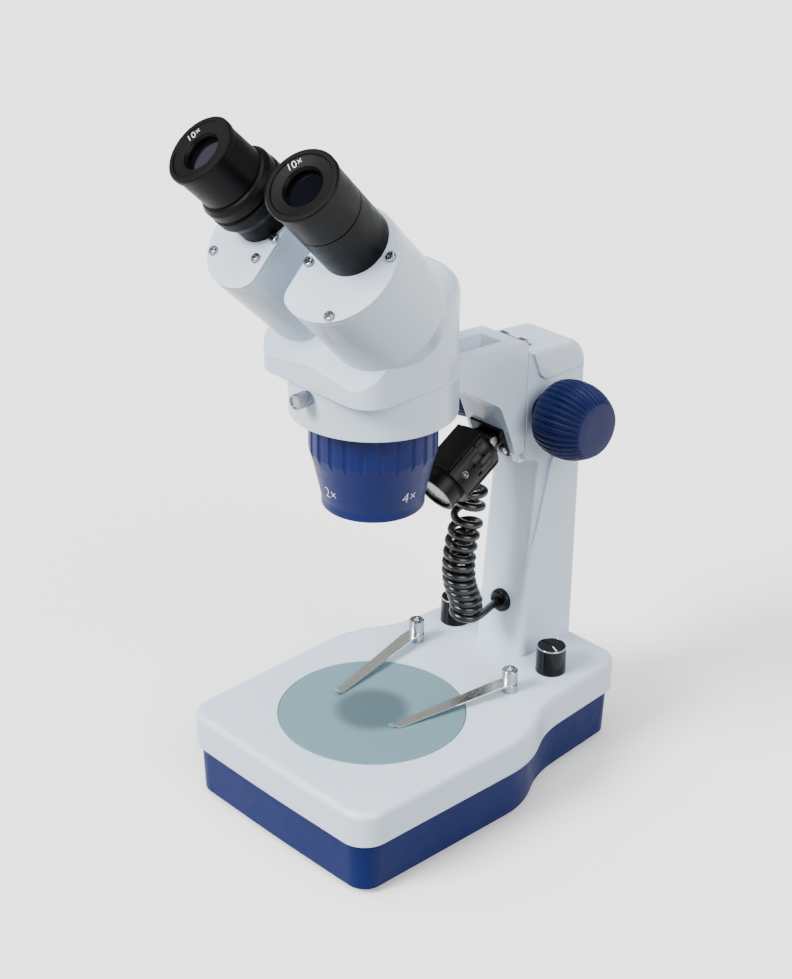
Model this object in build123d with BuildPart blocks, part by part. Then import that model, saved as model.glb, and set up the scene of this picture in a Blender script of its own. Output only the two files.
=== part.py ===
from build123d import *
from math import cos, degrees, pi, radians, sin, tan
import os

# Stereo microscope on a lit stand. Millimetres, +Z up, the user sits at -Y and looks towards +Y.
# The origin is under the middle of the whole microscope, on the bench. Most places are given from
# the optical axis of the head, which stands at x = 0, y = AXIS_Y, and from the top of the base.

os.makedirs("parts", exist_ok=True)

# ---- fits
RUN_FIT = 0.08          # radial play of a turning or sliding fit
PASS_GAP = 0.3          # play between pieces that only pass each other
THREAD_GAP = 0.03       # play that a screw keeps in its hole

# ---- base
AXIS_Y = -25.0
BASE_HEIGHT = 49.0
BASE_FRONT = 67.5
BASE_BOW = 1.0
BASE_REAR = 134.0
FRONT_HALF = 66.0
WIDE_HALF = 69.0
WAIST_HALF = 54.6
REAR_HALF = 50.5
WIDE_Y = 45.0
WAIST_Y = 71.0
FRONT_CORNER = 14.0
REAR_CORNER = 12.0
WAIST_BEND = 50.0
SKIRT_HEIGHT = 18.5
SKIRT_WALL = 4.0
BASE_ROOF = 4.5
BASE_EDGE = 3.5
LOWER_INSET = 2.5
LOWER_WALL = 3.0
LOWER_DRAFT = 1.0
LIP_HEIGHT = 3.0
LEDGE_WIDTH = 2.5
LEDGE_HEIGHT = 2.0
PLATE_THICKNESS = 1.5
FOOT_HEIGHT = 3.5
FOOT_RADIUS = 7.0
FOOT_SPOTS = [(50, -51), (-50, -51), (37, 115), (-37, 115)]
BOSS_RADIUS = 5.0
SCREW_RADIUS = 2.0
SCREW_HEAD = 3.6
SCREW_LENGTH = 14.0

# ---- stage, clips and dimmers
STAGE_RADIUS = 47.5
STAGE_THICKNESS = 5.0
STAGE_LEDGE = 4.0
SEAT_WALL = 4.5
SEAT_FLOOR = 3.0
REFLECTOR_RADIUS = 36.0
REFLECTOR_DEPTH = 20.0
REFLECTOR_WALL = 1.2
CLIP_X = 34.2
CLIP_Y = 64.7
POST_RADIUS = 4.1
POST_HEIGHT = 4.6
POST_STEM = 2.4
CAP_HEIGHT = 7.2
BLADE_THICKNESS = 0.8
BLADE_WIDTH = 7.4
BLADE_TIP_WIDTH = 4.2
BLADE_TIP_X = {"left": -22.7, "right": 18.2}
DIMMER_X = 35.2
DIMMER_Y = 95.1
DIMMER_RADIUS = 8.0
DIMMER_HEIGHT = 14.5
DIMMER_SHAFT = 3.0
POT_RADIUS = 8.5
POT_HEIGHT = 10.0
BUSHING_RADIUS = 3.6

# ---- mains parts inside the base
CORE_SIZE = (44.0, 18.0, 30.0)
COIL_SIZE = (30.0, 30.0, 20.0)
TRANSFORMER_Y = 88.0
INLET_WIDTH = 27.0
INLET_HEIGHT = 19.6
INLET_FLANGE = (31.0, 23.0, 2.0)
INLET_DEPTH = 18.0
INLET_Z = 17.0

# ---- pillar and focus drive
PILLAR_HALF = 17.0
PILLAR_FRONT = 91.5
PILLAR_REAR = 132.5
PANEL_TOP_Y = 100.4
PANEL_TOP_Z = 112.0
PILLAR_TOP = 176.5
PILLAR_FALL = 4.0
PILLAR_BACK_ROUND = 16.0
PILLAR_WALL = 4.0
PILLAR_FLOOR = 9.0
SEAM_Y = 90.0
SIDE_RECESS = 1.8
CHANNEL_HALF = 11.0
CHANNEL_DEPTH = 7.6
SLIDE_FRONT_HALF = 6.6
SLIDE_BACK_HALF = 9.0
SLIDE_DEPTH = 6.0
SLIDE_BOTTOM = 116.5
SLIDE_TOP = 178.0
RACK_HALF = 4.0
GEAR_MODULE = 1.0
GEAR_TEETH = 12
GEAR_WIDTH = 7.0
TOOTH_HALF = 0.55
SHAFT_RADIUS = 3.0
FOCUS_Z = 142.0
BUSH_RADIUS = 5.0
KNOB_RADIUS = 20.0
KNOB_FACE_RADIUS = 13.7
KNOB_INNER_X = 24.0
KNOB_OUTER_X = 52.0
KNOB_RIDGES = 36
BOLT_RADIUS = 3.0

# ---- arm
ARM_HALF = 15.0
ARM_TOP = 184.5
ARM_REAR_TOP = 180.7
ARM_FOOT_Z = 121.0
ARM_FOOT_FRONT = 83.5
RING_RADIUS = 39.9
RING_BOTTOM = 168.5
RING_TOP = 189.0
SPIGOT_RADIUS = 36.0
POCKET_HALF = 7.1
POCKET_FRONT = 46.0
POCKET_REAR = 79.0
POCKET_DEPTH = 18.0
THUMB_Z = 185.0
THUMB_RADIUS = 3.7
THUMB_LENGTH = 9.0

# ---- lamp under the arm
LAMP_RADIUS = 14.0
LAMP_LENGTH = 28.0
LAMP_NOSE_RADIUS = 11.2
LAMP_NOSE_LENGTH = 8.0
LAMP_BORE = 9.5
LAMP_FLAT = 12.4
LAMP_TILT = 30.6
LAMP_REAR_Y = 72.7
LAMP_REAR_Z = 126.7
LAMP_COVER = 1.2
LAMP_PIN_RADIUS = 1.5
LAMP_KNUCKLE = 3.2
LAMP_KNUCKLE_HALF = 4.0
GLAND_Y = 67.5
GLAND_RADIUS = 3.2
GLAND_LENGTH = 5.0

# ---- curly lamp cord
WIRE_RADIUS = 2.1
COIL_RADIUS = 8.8
COIL_TOP_Z = 99.5
COIL_ROUTE = [(66.0, 99.5), (66.0, 88.5), (61.8, 76.0), (60.2, 62.0), (62.4, 48.5), (66.6, 38.0), (66.6, 27.0)]
LEAD_ROUTE = [(68.0, 31.5), (80.0, 28.0), (96.0, 28.0)]
GROMMET_Z = 28.0
GROMMET_RADIUS = 6.2

# ---- head and turret
HEAD_HALF = 39.2
HEAD_FRONT = 40.6
HEAD_CORNER = 14.0
HEAD_TOP = 234.5
HEAD_CROWN = 8.0
HEAD_WALL = 4.0
SPIGOT_FLOOR = 4.0
SPIGOT_BOTTOM = 170.0
TURRET_RADIUS = 30.7
TURRET_TOP = 169.2
TURRET_NECK_Z = 141.0
TURRET_LOW_RADIUS = 24.8
TURRET_CONE_Z = 124.0
TURRET_BOTTOM = 119.6
TURRET_WALL = 2.4
TURRET_MOUTH = 19.5
TURRET_FLUTES = 24
CORE_THICKNESS = 7.0
HUB_RADIUS = 7.0
OBJECTIVE_RADIUS = 5.2
OBJECTIVE_LENGTH = 42.0
OBJECTIVE_LOW_Z = 123.0
OBJECTIVE_SPREAD = 8.4

# ---- prism housings and eyepieces
TUBE_TILT = 45.0
TOE_OUT = 5.7
PIVOT_X = 21.5
PIVOT_Y = -13.2
PIVOT_Z = 225.3
HOUSING_RADIUS = 29.0
HOUSING_FLAT = 16.0
HOUSING_CORNER = 8.0
HOUSING_LENGTH = 44.3
HOUSING_WALL = 3.0
CAP_THICKNESS = 2.0
HUB_OUTER = 13.0
HUB_LENGTH = 8.0
TUBE_OUT = 2.0
TUBE_UP = 10.8
TUBE_RADIUS = 16.3
TUBE_HEIGHT = 26.0
INSERT_RADIUS = 11.6
INSERT_LENGTH = 20.0
EYE_LENGTH = 22.0
RIM_RADIUS = 17.0
RIM_HEIGHT = 3.4
EYE_APERTURE = 8.5
LENS_RADIUS = 9.9
PRISM_HALF = 12.0
PRISM_LOW_HALF = 10.0
PRISM_WIDTH = 12.0
BEAM_RADIUS = 7.5
DIOPTER_RADIUS = 19.0
DIOPTER_LOW = 9.0
DIOPTER_SPLIT = 18.2
DIOPTER_TRAVEL = 2.5
CAP_SCREWS = {1: [(-13.2, -5.0), (12.0, -23.1), (23.2, 10.8)], -1: [(-9.6, -12.0), (-13.4, -0.8), (19.8, -15.1)]}
CAP_SCREW_RADIUS = 1.5
CAP_HEAD_RADIUS = 2.4
CAP_HEAD_HEIGHT = 1.8

SIDES = {"left": -1, "right": 1}
FAR = 300.0             # longer than anything here, for cuts that run out of the piece


def at(x, y, z):
    """A point given from the optical axis and the top of the base."""
    return (x, AXIS_Y + y, BASE_HEIGHT + z)


def level(z):
    """A horizontal plane on the optical axis, at a height above the top of the base."""
    return Plane(origin=at(0, 0, z))


def flank(x=0.0):
    """An upright plane facing +X, whose own axes run along Y and Z from the optical axis."""
    return Plane(origin=at(x, 0, 0), x_dir=(0, 1, 0), z_dir=(1, 0, 0))


def save(piece, name):
    piece.part.label = name
    export_step(piece.part, f"parts/{name}.step")


def base_face(z, inset=0.0):
    """The outline of the base: bowed front, wide at the stage, drawn in to a waist at the pillar."""
    right = [(FRONT_HALF, -BASE_FRONT), (WIDE_HALF, WIDE_Y), (WAIST_HALF, WAIST_Y), (REAR_HALF, BASE_REAR)]
    left = [(-x, y) for x, y in reversed(right)]
    corners = [FRONT_CORNER, WAIST_BEND, WAIST_BEND, REAR_CORNER]
    bow_radius = 0.3 * FRONT_HALF ** 2 / BASE_BOW
    with BuildSketch(level(z)) as outline:
        with BuildLine():
            FilletPolyline(
                (0, -BASE_FRONT - BASE_BOW), *right, *left,
                radius=[bow_radius, *corners, *reversed(corners)], close=True,
            )
        make_face()
        if inset:
            offset(amount=-inset, kind=Kind.INTERSECTION)
    return outline.sketch


def ring_face(plane, outer, inner):
    with BuildSketch(plane) as ring:
        Circle(outer)
        Circle(inner, mode=Mode.SUBTRACT)
    return ring.sketch


# ======== base ========
PLATE_TOP = FOOT_HEIGHT + PLATE_THICKNESS - BASE_HEIGHT
SEAT_DEPTH = STAGE_THICKNESS + SEAT_FLOOR
STAGE_HOLE = STAGE_RADIUS - STAGE_LEDGE
CABLE_Y = (PILLAR_FRONT + PILLAR_REAR) / 2
BOLT_SPOTS = [(0, PILLAR_FRONT + 10), (0, PILLAR_REAR - 10)]
CLIP_SPOTS = [(CLIP_X, CLIP_Y), (-CLIP_X, CLIP_Y)]
DIMMER_SPOTS = [(DIMMER_X, DIMMER_Y), (-DIMMER_X, DIMMER_Y)]

with BuildPart() as base_cover:
    extrude(base_face(-SKIRT_HEIGHT), amount=SKIRT_HEIGHT)
    fillet(base_cover.edges().group_by(Axis.Z)[-1], BASE_EDGE)
    extrude(base_face(-SKIRT_HEIGHT, SKIRT_WALL), amount=SKIRT_HEIGHT - BASE_ROOF, mode=Mode.SUBTRACT)
    with BuildSketch(level(-SEAT_DEPTH)):
        Circle(STAGE_RADIUS + SEAT_WALL)
    extrude(amount=SEAT_DEPTH - BASE_ROOF / 2)
    with BuildSketch(level(PLATE_TOP)):
        with Locations(*FOOT_SPOTS):
            Circle(BOSS_RADIUS)
    extrude(amount=-PLATE_TOP - BASE_ROOF / 2)
    with BuildSketch(level(-STAGE_THICKNESS)):
        Circle(STAGE_RADIUS + PASS_GAP)
    extrude(amount=FAR, mode=Mode.SUBTRACT)
    with BuildSketch(level(-SEAT_DEPTH)):
        Circle(STAGE_HOLE)
    extrude(amount=FAR, mode=Mode.SUBTRACT)
    with BuildSketch(level(PLATE_TOP)):
        with Locations(*FOOT_SPOTS):
            Circle(SCREW_RADIUS + THREAD_GAP)
    extrude(amount=SCREW_LENGTH, mode=Mode.SUBTRACT)
    with BuildSketch(level(-BASE_ROOF)):
        with Locations(*CLIP_SPOTS):
            Circle(POST_STEM + THREAD_GAP)
        with Locations(*DIMMER_SPOTS):
            Circle(BUSHING_RADIUS + THREAD_GAP)
        with Locations(*BOLT_SPOTS):
            Circle(BOLT_RADIUS + THREAD_GAP)
        with Locations((0, CABLE_Y)):
            Circle(BOLT_RADIUS)
    extrude(amount=FAR, mode=Mode.SUBTRACT)
save(base_cover, "base_cover")

SKIRT_BOTTOM = -SKIRT_HEIGHT
LOWER_BOTTOM = PLATE_TOP - PLATE_THICKNESS
LOWER_HEIGHT = SKIRT_BOTTOM - LOWER_BOTTOM
DRAFT_ANGLE = degrees(LOWER_DRAFT / LOWER_HEIGHT)
LOWER_INNER = LOWER_INSET + LOWER_DRAFT + LOWER_WALL
INLET_CENTRE_Z = INLET_Z - BASE_HEIGHT
REAR_POINT = at(0, BASE_REAR - LOWER_INSET - LOWER_DRAFT, INLET_CENTRE_Z)
REAR_FACE = Plane(origin=REAR_POINT, x_dir=(-1, 0, 0), z_dir=(0, 1, 0))

with BuildPart() as lower_housing:
    extrude(base_face(SKIRT_BOTTOM, LOWER_INSET), amount=-LOWER_HEIGHT, taper=DRAFT_ANGLE)
    extrude(base_face(SKIRT_BOTTOM - LIP_HEIGHT, SKIRT_WALL + PASS_GAP), amount=2 * LIP_HEIGHT)
    extrude(base_face(LOWER_BOTTOM, LOWER_INNER), amount=FAR, mode=Mode.SUBTRACT)
    extrude(base_face(PLATE_TOP, LOWER_INNER - 1), amount=LEDGE_HEIGHT)
    extrude(base_face(PLATE_TOP, LOWER_INNER + LEDGE_WIDTH), amount=LEDGE_HEIGHT, mode=Mode.SUBTRACT)
    with BuildSketch(REAR_FACE.offset(-2 * LOWER_INNER)):
        Rectangle(INLET_WIDTH + 2 * PASS_GAP, INLET_HEIGHT + 2 * PASS_GAP)
    extrude(amount=FAR, mode=Mode.SUBTRACT)
    with BuildSketch(REAR_FACE.offset(-INLET_FLANGE[2])):
        Rectangle(INLET_FLANGE[0] + 2 * PASS_GAP, INLET_FLANGE[1] + 2 * PASS_GAP)
    extrude(amount=FAR, mode=Mode.SUBTRACT)
save(lower_housing, "lower_housing")

with BuildPart() as bottom_plate:
    extrude(base_face(LOWER_BOTTOM, LOWER_INNER + PASS_GAP), amount=PLATE_THICKNESS)
    with BuildSketch(level(LOWER_BOTTOM)):
        with Locations(*FOOT_SPOTS):
            Circle(SCREW_RADIUS + THREAD_GAP)
        with Locations((0, -20)):
            with GridLocations(9, 12, 5, 3):
                SlotOverall(7, 2.4, rotation=90)
    extrude(amount=PLATE_THICKNESS, mode=Mode.SUBTRACT)
save(bottom_plate, "bottom_plate")

FOOT_BOTTOM = -BASE_HEIGHT
FOOT_WEB = 1.6
with BuildPart() as rubber_feet:
    with BuildSketch(level(FOOT_BOTTOM)):
        with Locations(*FOOT_SPOTS):
            Circle(FOOT_RADIUS)
    extrude(amount=FOOT_HEIGHT, taper=0)
    chamfer(rubber_feet.edges().group_by(Axis.Z)[0], 0.8)
    with BuildSketch(level(FOOT_BOTTOM)):
        with Locations(*FOOT_SPOTS):
            Circle(SCREW_HEAD + PASS_GAP)
    extrude(amount=FOOT_HEIGHT - FOOT_WEB, mode=Mode.SUBTRACT)
    with BuildSketch(level(FOOT_BOTTOM)):
        with Locations(*FOOT_SPOTS):
            Circle(SCREW_RADIUS + THREAD_GAP)
    extrude(amount=FOOT_HEIGHT, mode=Mode.SUBTRACT)
save(rubber_feet, "rubber_feet")

HEAD_SEAT = LOWER_BOTTOM - FOOT_WEB
SCREW_HEAD_HEIGHT = 1.6
with BuildPart() as base_screws:
    with BuildSketch(level(HEAD_SEAT)):
        with Locations(*FOOT_SPOTS):
            Circle(SCREW_HEAD)
    extrude(amount=-SCREW_HEAD_HEIGHT)
    with BuildSketch(level(HEAD_SEAT)):
        with Locations(*FOOT_SPOTS):
            Circle(SCREW_RADIUS)
    extrude(amount=SCREW_LENGTH)
    with BuildSketch(level(HEAD_SEAT - SCREW_HEAD_HEIGHT)):
        with Locations(*FOOT_SPOTS):
            Rectangle(4.4, 0.9)
            Rectangle(0.9, 4.4)
    extrude(amount=0.9, mode=Mode.SUBTRACT)
save(base_screws, "base_screws")

with BuildPart() as stage_plate:
    with BuildSketch(level(-STAGE_THICKNESS)):
        Circle(STAGE_RADIUS)
    extrude(amount=STAGE_THICKNESS)
    chamfer(stage_plate.edges(), 0.4)
save(stage_plate, "stage_plate")

# a spun dish under the glass, held by its rolled rim against the underside of the seat
DISH_TOP = -SEAT_DEPTH
BULB_RADIUS = 5.0
with BuildPart() as substage_reflector:
    with BuildSketch(Plane(origin=at(0, 0, 0), x_dir=(1, 0, 0), z_dir=(0, -1, 0))):
        with BuildLine():
            Polyline(
                (BULB_RADIUS + 1.5, DISH_TOP - REFLECTOR_DEPTH), (REFLECTOR_RADIUS * 0.55, DISH_TOP - REFLECTOR_DEPTH),
                (REFLECTOR_RADIUS, DISH_TOP - REFLECTOR_WALL), (STAGE_HOLE + 2, DISH_TOP - REFLECTOR_WALL),
                (STAGE_HOLE + 2, DISH_TOP), (REFLECTOR_RADIUS - REFLECTOR_WALL, DISH_TOP),
                (REFLECTOR_RADIUS * 0.55 - REFLECTOR_WALL, DISH_TOP - REFLECTOR_DEPTH + REFLECTOR_WALL),
                (BULB_RADIUS + 1.5, DISH_TOP - REFLECTOR_DEPTH + REFLECTOR_WALL), close=True,
            )
        make_face()
    revolve(axis=Axis(at(0, 0, 0), (0, 0, 1)))
save(substage_reflector, "substage_reflector")

# halogen bulb in a ceramic socket that stands on the bottom plate
SOCKET_TOP = DISH_TOP - REFLECTOR_DEPTH - 2
with BuildPart() as substage_bulb:
    with BuildSketch(level(PLATE_TOP)):
        Rectangle(26, 14)
    extrude(amount=3)
    with BuildSketch(level(PLATE_TOP)):
        Circle(BULB_RADIUS)
    extrude(amount=SOCKET_TOP - PLATE_TOP)
    with BuildSketch(level(SOCKET_TOP)):
        Circle(BULB_RADIUS - 0.8)
    extrude(amount=11)
    fillet(substage_bulb.edges().group_by(Axis.Z)[-1], 3.5)
save(substage_bulb, "substage_bulb")

with BuildPart() as transformer:
    with BuildSketch(level(PLATE_TOP)):
        with Locations((0, TRANSFORMER_Y)):
            Rectangle(CORE_SIZE[0], CORE_SIZE[1])
    extrude(amount=CORE_SIZE[2])
    with BuildSketch(level(PLATE_TOP + (CORE_SIZE[2] - COIL_SIZE[2]) / 2)):
        with Locations((0, TRANSFORMER_Y)):
            RectangleRounded(COIL_SIZE[0], COIL_SIZE[1], 3)
    extrude(amount=COIL_SIZE[2])
    with BuildSketch(level(PLATE_TOP)):
        with Locations((0, TRANSFORMER_Y)):
            RectangleRounded(CORE_SIZE[0] + 16, CORE_SIZE[1] - 4, 3)
    extrude(amount=1.5)
save(transformer, "transformer")

BUSHING_TOP = 2.2
with BuildPart() as potentiometers:
    with BuildSketch(level(-BASE_ROOF)):
        with Locations(*DIMMER_SPOTS):
            Circle(POT_RADIUS)
    extrude(amount=-POT_HEIGHT)
    with BuildSketch(level(-BASE_ROOF)):
        with Locations(*DIMMER_SPOTS):
            Circle(BUSHING_RADIUS)
    extrude(amount=BASE_ROOF + BUSHING_TOP)
    with BuildSketch(level(-BASE_ROOF - POT_HEIGHT / 2)):
        with Locations(*DIMMER_SPOTS):
            Circle(DIMMER_SHAFT + RUN_FIT)
    extrude(amount=FAR, mode=Mode.SUBTRACT)
save(potentiometers, "potentiometers")

# each dimmer knob is moulded over its shaft; the skirt clears the bushing
for name, side in SIDES.items():
    with BuildPart() as dimmer_knob:
        with BuildSketch(level(PASS_GAP)):
            with Locations((side * DIMMER_X, DIMMER_Y)):
                Circle(DIMMER_RADIUS)
        extrude(amount=DIMMER_HEIGHT, taper=1.2)
        fillet(dimmer_knob.edges().group_by(Axis.Z)[-1], 0.8)
        with BuildSketch(level(PASS_GAP)):
            with Locations((side * DIMMER_X, DIMMER_Y)):
                Circle(BUSHING_RADIUS + 1)
        extrude(amount=BUSHING_TOP + 0.6, mode=Mode.SUBTRACT)
        with BuildSketch(level(-BASE_ROOF - POT_HEIGHT / 2 + PASS_GAP)):
            with Locations((side * DIMMER_X, DIMMER_Y)):
                Circle(DIMMER_SHAFT)
        extrude(amount=BASE_ROOF + POT_HEIGHT / 2 + DIMMER_HEIGHT / 2)
        with BuildSketch(level(PASS_GAP + DIMMER_HEIGHT - 0.5)):
            with Locations((side * DIMMER_X - DIMMER_RADIUS / 2, DIMMER_Y)):
                Rectangle(DIMMER_RADIUS - 1.6, 0.9)
        extrude(amount=1, mode=Mode.SUBTRACT)
    save(dimmer_knob, f"dimmer_knob_{name}")

with BuildPart() as power_inlet:
    with BuildSketch(REAR_FACE.offset(-INLET_FLANGE[2])):
        RectangleRounded(INLET_FLANGE[0], INLET_FLANGE[1], 2)
    extrude(amount=INLET_FLANGE[2])
    with BuildSketch(REAR_FACE.offset(-INLET_FLANGE[2])):
        RectangleRounded(INLET_WIDTH, INLET_HEIGHT, 2)
    extrude(amount=-INLET_DEPTH)
    with BuildSketch(REAR_FACE):
        RectangleRounded(INLET_WIDTH - 4, INLET_HEIGHT - 4, 3)
    extrude(amount=-INLET_DEPTH + 1, mode=Mode.SUBTRACT)
    with BuildSketch(REAR_FACE.offset(-INLET_DEPTH)):
        with Locations((-7, -1), (0, 3), (7, -1)):
            Rectangle(2, 4)
    extrude(amount=INLET_DEPTH - 3)
save(power_inlet, "power_inlet")

# ======== stage clips ========
with BuildPart() as clip_posts:
    with BuildSketch(level(0)):
        with Locations(*CLIP_SPOTS):
            Circle(POST_RADIUS)
    extrude(amount=POST_HEIGHT)
    chamfer(clip_posts.edges().group_by(Axis.Z)[-1], 0.4)
    with BuildSketch(level(-BASE_ROOF - 4)):
        with Locations(*CLIP_SPOTS):
            Circle(POST_STEM)
    extrude(amount=BASE_ROOF + 4 + POST_HEIGHT + CAP_HEIGHT - 2.5)
    with BuildSketch(level(-BASE_ROOF)):
        with Locations(*CLIP_SPOTS):
            RegularPolygon(4.6, 6)
    extrude(amount=-3)
save(clip_posts, "clip_posts")

BLADE_Z = POST_HEIGHT + PASS_GAP
SPRING_DROP = BLADE_Z - PASS_GAP
for name, side in SIDES.items():
    with BuildPart() as clip_cap:
        with BuildSketch(level(BLADE_Z + BLADE_THICKNESS)):
            with Locations((side * CLIP_X, CLIP_Y)):
                Circle(POST_RADIUS)
        extrude(amount=CAP_HEIGHT)
        chamfer(clip_cap.edges().group_by(Axis.Z)[-1], 0.6)
        with BuildSketch(level(BLADE_Z + BLADE_THICKNESS)):
            with Locations((side * CLIP_X, CLIP_Y)):
                Circle(POST_STEM + RUN_FIT)
        extrude(amount=CAP_HEIGHT - 2.2, mode=Mode.SUBTRACT)
        with BuildSketch(level(BLADE_Z + BLADE_THICKNESS + CAP_HEIGHT - 1.6)):
            with Locations((side * CLIP_X, CLIP_Y)):
                RegularPolygon(2.2, 6)
        extrude(amount=2, mode=Mode.SUBTRACT)
    save(clip_cap, f"clip_cap_{name}")

    # the blade is a bent leaf: an eye on the post, then a taper that comes down to the glass
    with BuildPart() as clip_blade:
        reach = Vector(BLADE_TIP_X[name] - side * CLIP_X, -CLIP_Y - 6.0, 0)
        heading = reach.normalized()
        run = reach.length
        blade_axis = Plane(origin=at(side * CLIP_X, CLIP_Y, 0), x_dir=heading, z_dir=heading.cross(Vector(0, 0, 1)))
        with BuildSketch(blade_axis.offset(-BLADE_WIDTH / 2 - 1)):
            with BuildLine():
                Polyline(
                    (-6, BLADE_Z), (9, BLADE_Z), (run - 6, BLADE_Z - SPRING_DROP), (run, BLADE_Z - SPRING_DROP + 2.4),
                    (run - 0.2, BLADE_Z - SPRING_DROP + 2.4 + BLADE_THICKNESS),
                    (run - 6, BLADE_Z - SPRING_DROP + BLADE_THICKNESS), (9, BLADE_Z + BLADE_THICKNESS),
                    (-6, BLADE_Z + BLADE_THICKNESS), close=True,
                )
            make_face()
        extrude(amount=BLADE_WIDTH + 2)
        plan = Plane(origin=at(side * CLIP_X, CLIP_Y, 0), x_dir=heading, z_dir=(0, 0, 1))
        with BuildSketch(plan):
            with BuildLine():
                Polyline(
                    (0, -BLADE_WIDTH / 2), (12, -BLADE_WIDTH / 2), (run - 5, -BLADE_TIP_WIDTH / 2), (run, 0),
                    (run - 5, BLADE_TIP_WIDTH / 2), (12, BLADE_WIDTH / 2), (0, BLADE_WIDTH / 2), close=True,
                )
            make_face()
            Circle(BLADE_WIDTH / 2)
            Circle(POST_STEM + RUN_FIT, mode=Mode.SUBTRACT)
        extrude(amount=2 * CAP_HEIGHT, mode=Mode.INTERSECT)
    save(clip_blade, f"clip_blade_{name}")


# ======== pillar ========
PANEL_SLOPE = (PANEL_TOP_Y - PILLAR_FRONT) / PANEL_TOP_Z
CHANNEL_REAR = SEAM_Y + CHANNEL_DEPTH
SHAFT_Y = SEAM_Y + SLIDE_DEPTH - GEAR_MODULE + GEAR_MODULE * GEAR_TEETH / 2
CREASE_LOW_Z = 54.0
SHOULDER_Z = 158.0


def panel_y(z):
    """Where the leaning front of the pillar stands at a height above the base."""
    return PILLAR_FRONT + PANEL_SLOPE * z


with BuildPart() as pillar:
    with BuildSketch(flank(-PILLAR_HALF)):
        with BuildLine():
            FilletPolyline(
                (PILLAR_FRONT, 0), (PANEL_TOP_Y, PANEL_TOP_Z), (SEAM_Y, PANEL_TOP_Z + 4), (SEAM_Y, PILLAR_TOP),
                (PILLAR_REAR, PILLAR_TOP - PILLAR_FALL), (PILLAR_REAR, 0),
                radius=[0, 3, 2, 2.5, PILLAR_BACK_ROUND, 0], close=True,
            )
        make_face()
    extrude(amount=2 * PILLAR_HALF)
    fillet(pillar.edges().filter_by(Axis.Z).group_by(Axis.Y)[-1], 4)
    # the flat round each focus knob is sunk a little, from the seam back to a crease
    for side in (-1, 1):
        with BuildSketch(flank(side * (PILLAR_HALF - SIDE_RECESS))):
            with BuildLine():
                FilletPolyline(
                    (SEAM_Y - 5, CREASE_LOW_Z), (panel_y(CREASE_LOW_Z) - 0.5, CREASE_LOW_Z),
                    (SHAFT_Y + 9, FOCUS_Z - 26), (PILLAR_REAR + 10, FOCUS_Z - 22), (PILLAR_REAR + 10, SHOULDER_Z),
                    (SHAFT_Y - 2, SHOULDER_Z), (SEAM_Y + 2.5, PILLAR_TOP - 3), (SEAM_Y - 5, PILLAR_TOP - 3),
                    radius=[0, 0, 12, 0, 0, 8, 0, 0], close=True,
                )
            make_face()
        extrude(amount=side * FAR, mode=Mode.SUBTRACT)
    # cored out below and above the focus shaft
    with BuildSketch(flank(-CHANNEL_HALF)):
        with BuildLine():
            Polyline(
                (panel_y(PILLAR_FLOOR) + PILLAR_WALL, PILLAR_FLOOR), (PANEL_TOP_Y + PILLAR_WALL, PANEL_TOP_Z - 6),
                (CHANNEL_REAR + PILLAR_WALL, PANEL_TOP_Z + 4), (CHANNEL_REAR + PILLAR_WALL, FOCUS_Z - 16),
                (PILLAR_REAR - PILLAR_WALL, FOCUS_Z - 16), (PILLAR_REAR - PILLAR_WALL, PILLAR_FLOOR), close=True,
            )
        make_face()
    extrude(amount=2 * CHANNEL_HALF, mode=Mode.SUBTRACT)
    # channel of the slide, open at the top, and the bore of the focus shaft with room for its gear
    with BuildSketch(level(PANEL_TOP_Z - 1)):
        with Locations((0, CHANNEL_REAR)):
            Rectangle(2 * CHANNEL_HALF, 2 * CHANNEL_DEPTH + FAR, align=(Align.CENTER, Align.MAX))
    extrude(amount=FAR, mode=Mode.SUBTRACT)
    with BuildSketch(flank(-FAR / 2)):
        with Locations((SHAFT_Y, FOCUS_Z)):
            Circle(BUSH_RADIUS + THREAD_GAP)
    extrude(amount=FAR, mode=Mode.SUBTRACT)
    with BuildSketch(flank(-GEAR_WIDTH / 2 - 2)):
        with Locations((SHAFT_Y, FOCUS_Z)):
            Circle(GEAR_MODULE * (GEAR_TEETH / 2 + 2.2))
    extrude(amount=GEAR_WIDTH + 4, mode=Mode.SUBTRACT)
    # cable way, grommet hole and bolt threads
    with BuildSketch(level(0)):
        with Locations((0, CABLE_Y)):
            Circle(BOLT_RADIUS)
        with Locations(*BOLT_SPOTS):
            Circle(BOLT_RADIUS + THREAD_GAP)
    extrude(amount=PILLAR_FLOOR + 1, mode=Mode.SUBTRACT)
    with BuildSketch(Plane(origin=at(0, PILLAR_FRONT - 10, GROMMET_Z), x_dir=(1, 0, 0), z_dir=(0, 1, 0))):
        Circle(GROMMET_RADIUS - 1.5)
    extrude(amount=10 + PILLAR_WALL + 6, mode=Mode.SUBTRACT)
save(pillar, "pillar")

with BuildPart() as pillar_bolts:
    with BuildSketch(level(-BASE_ROOF)):
        with Locations(*BOLT_SPOTS):
            Circle(5)
    extrude(amount=-4)
    with BuildSketch(level(-BASE_ROOF)):
        with Locations(*BOLT_SPOTS):
            Circle(BOLT_RADIUS)
    extrude(amount=BASE_ROOF + PILLAR_FLOOR)
    with BuildSketch(level(-BASE_ROOF - 4)):
        with Locations(*BOLT_SPOTS):
            RegularPolygon(2.8, 6)
    extrude(amount=2.5, mode=Mode.SUBTRACT)
save(pillar_bolts, "pillar_bolts")

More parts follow.
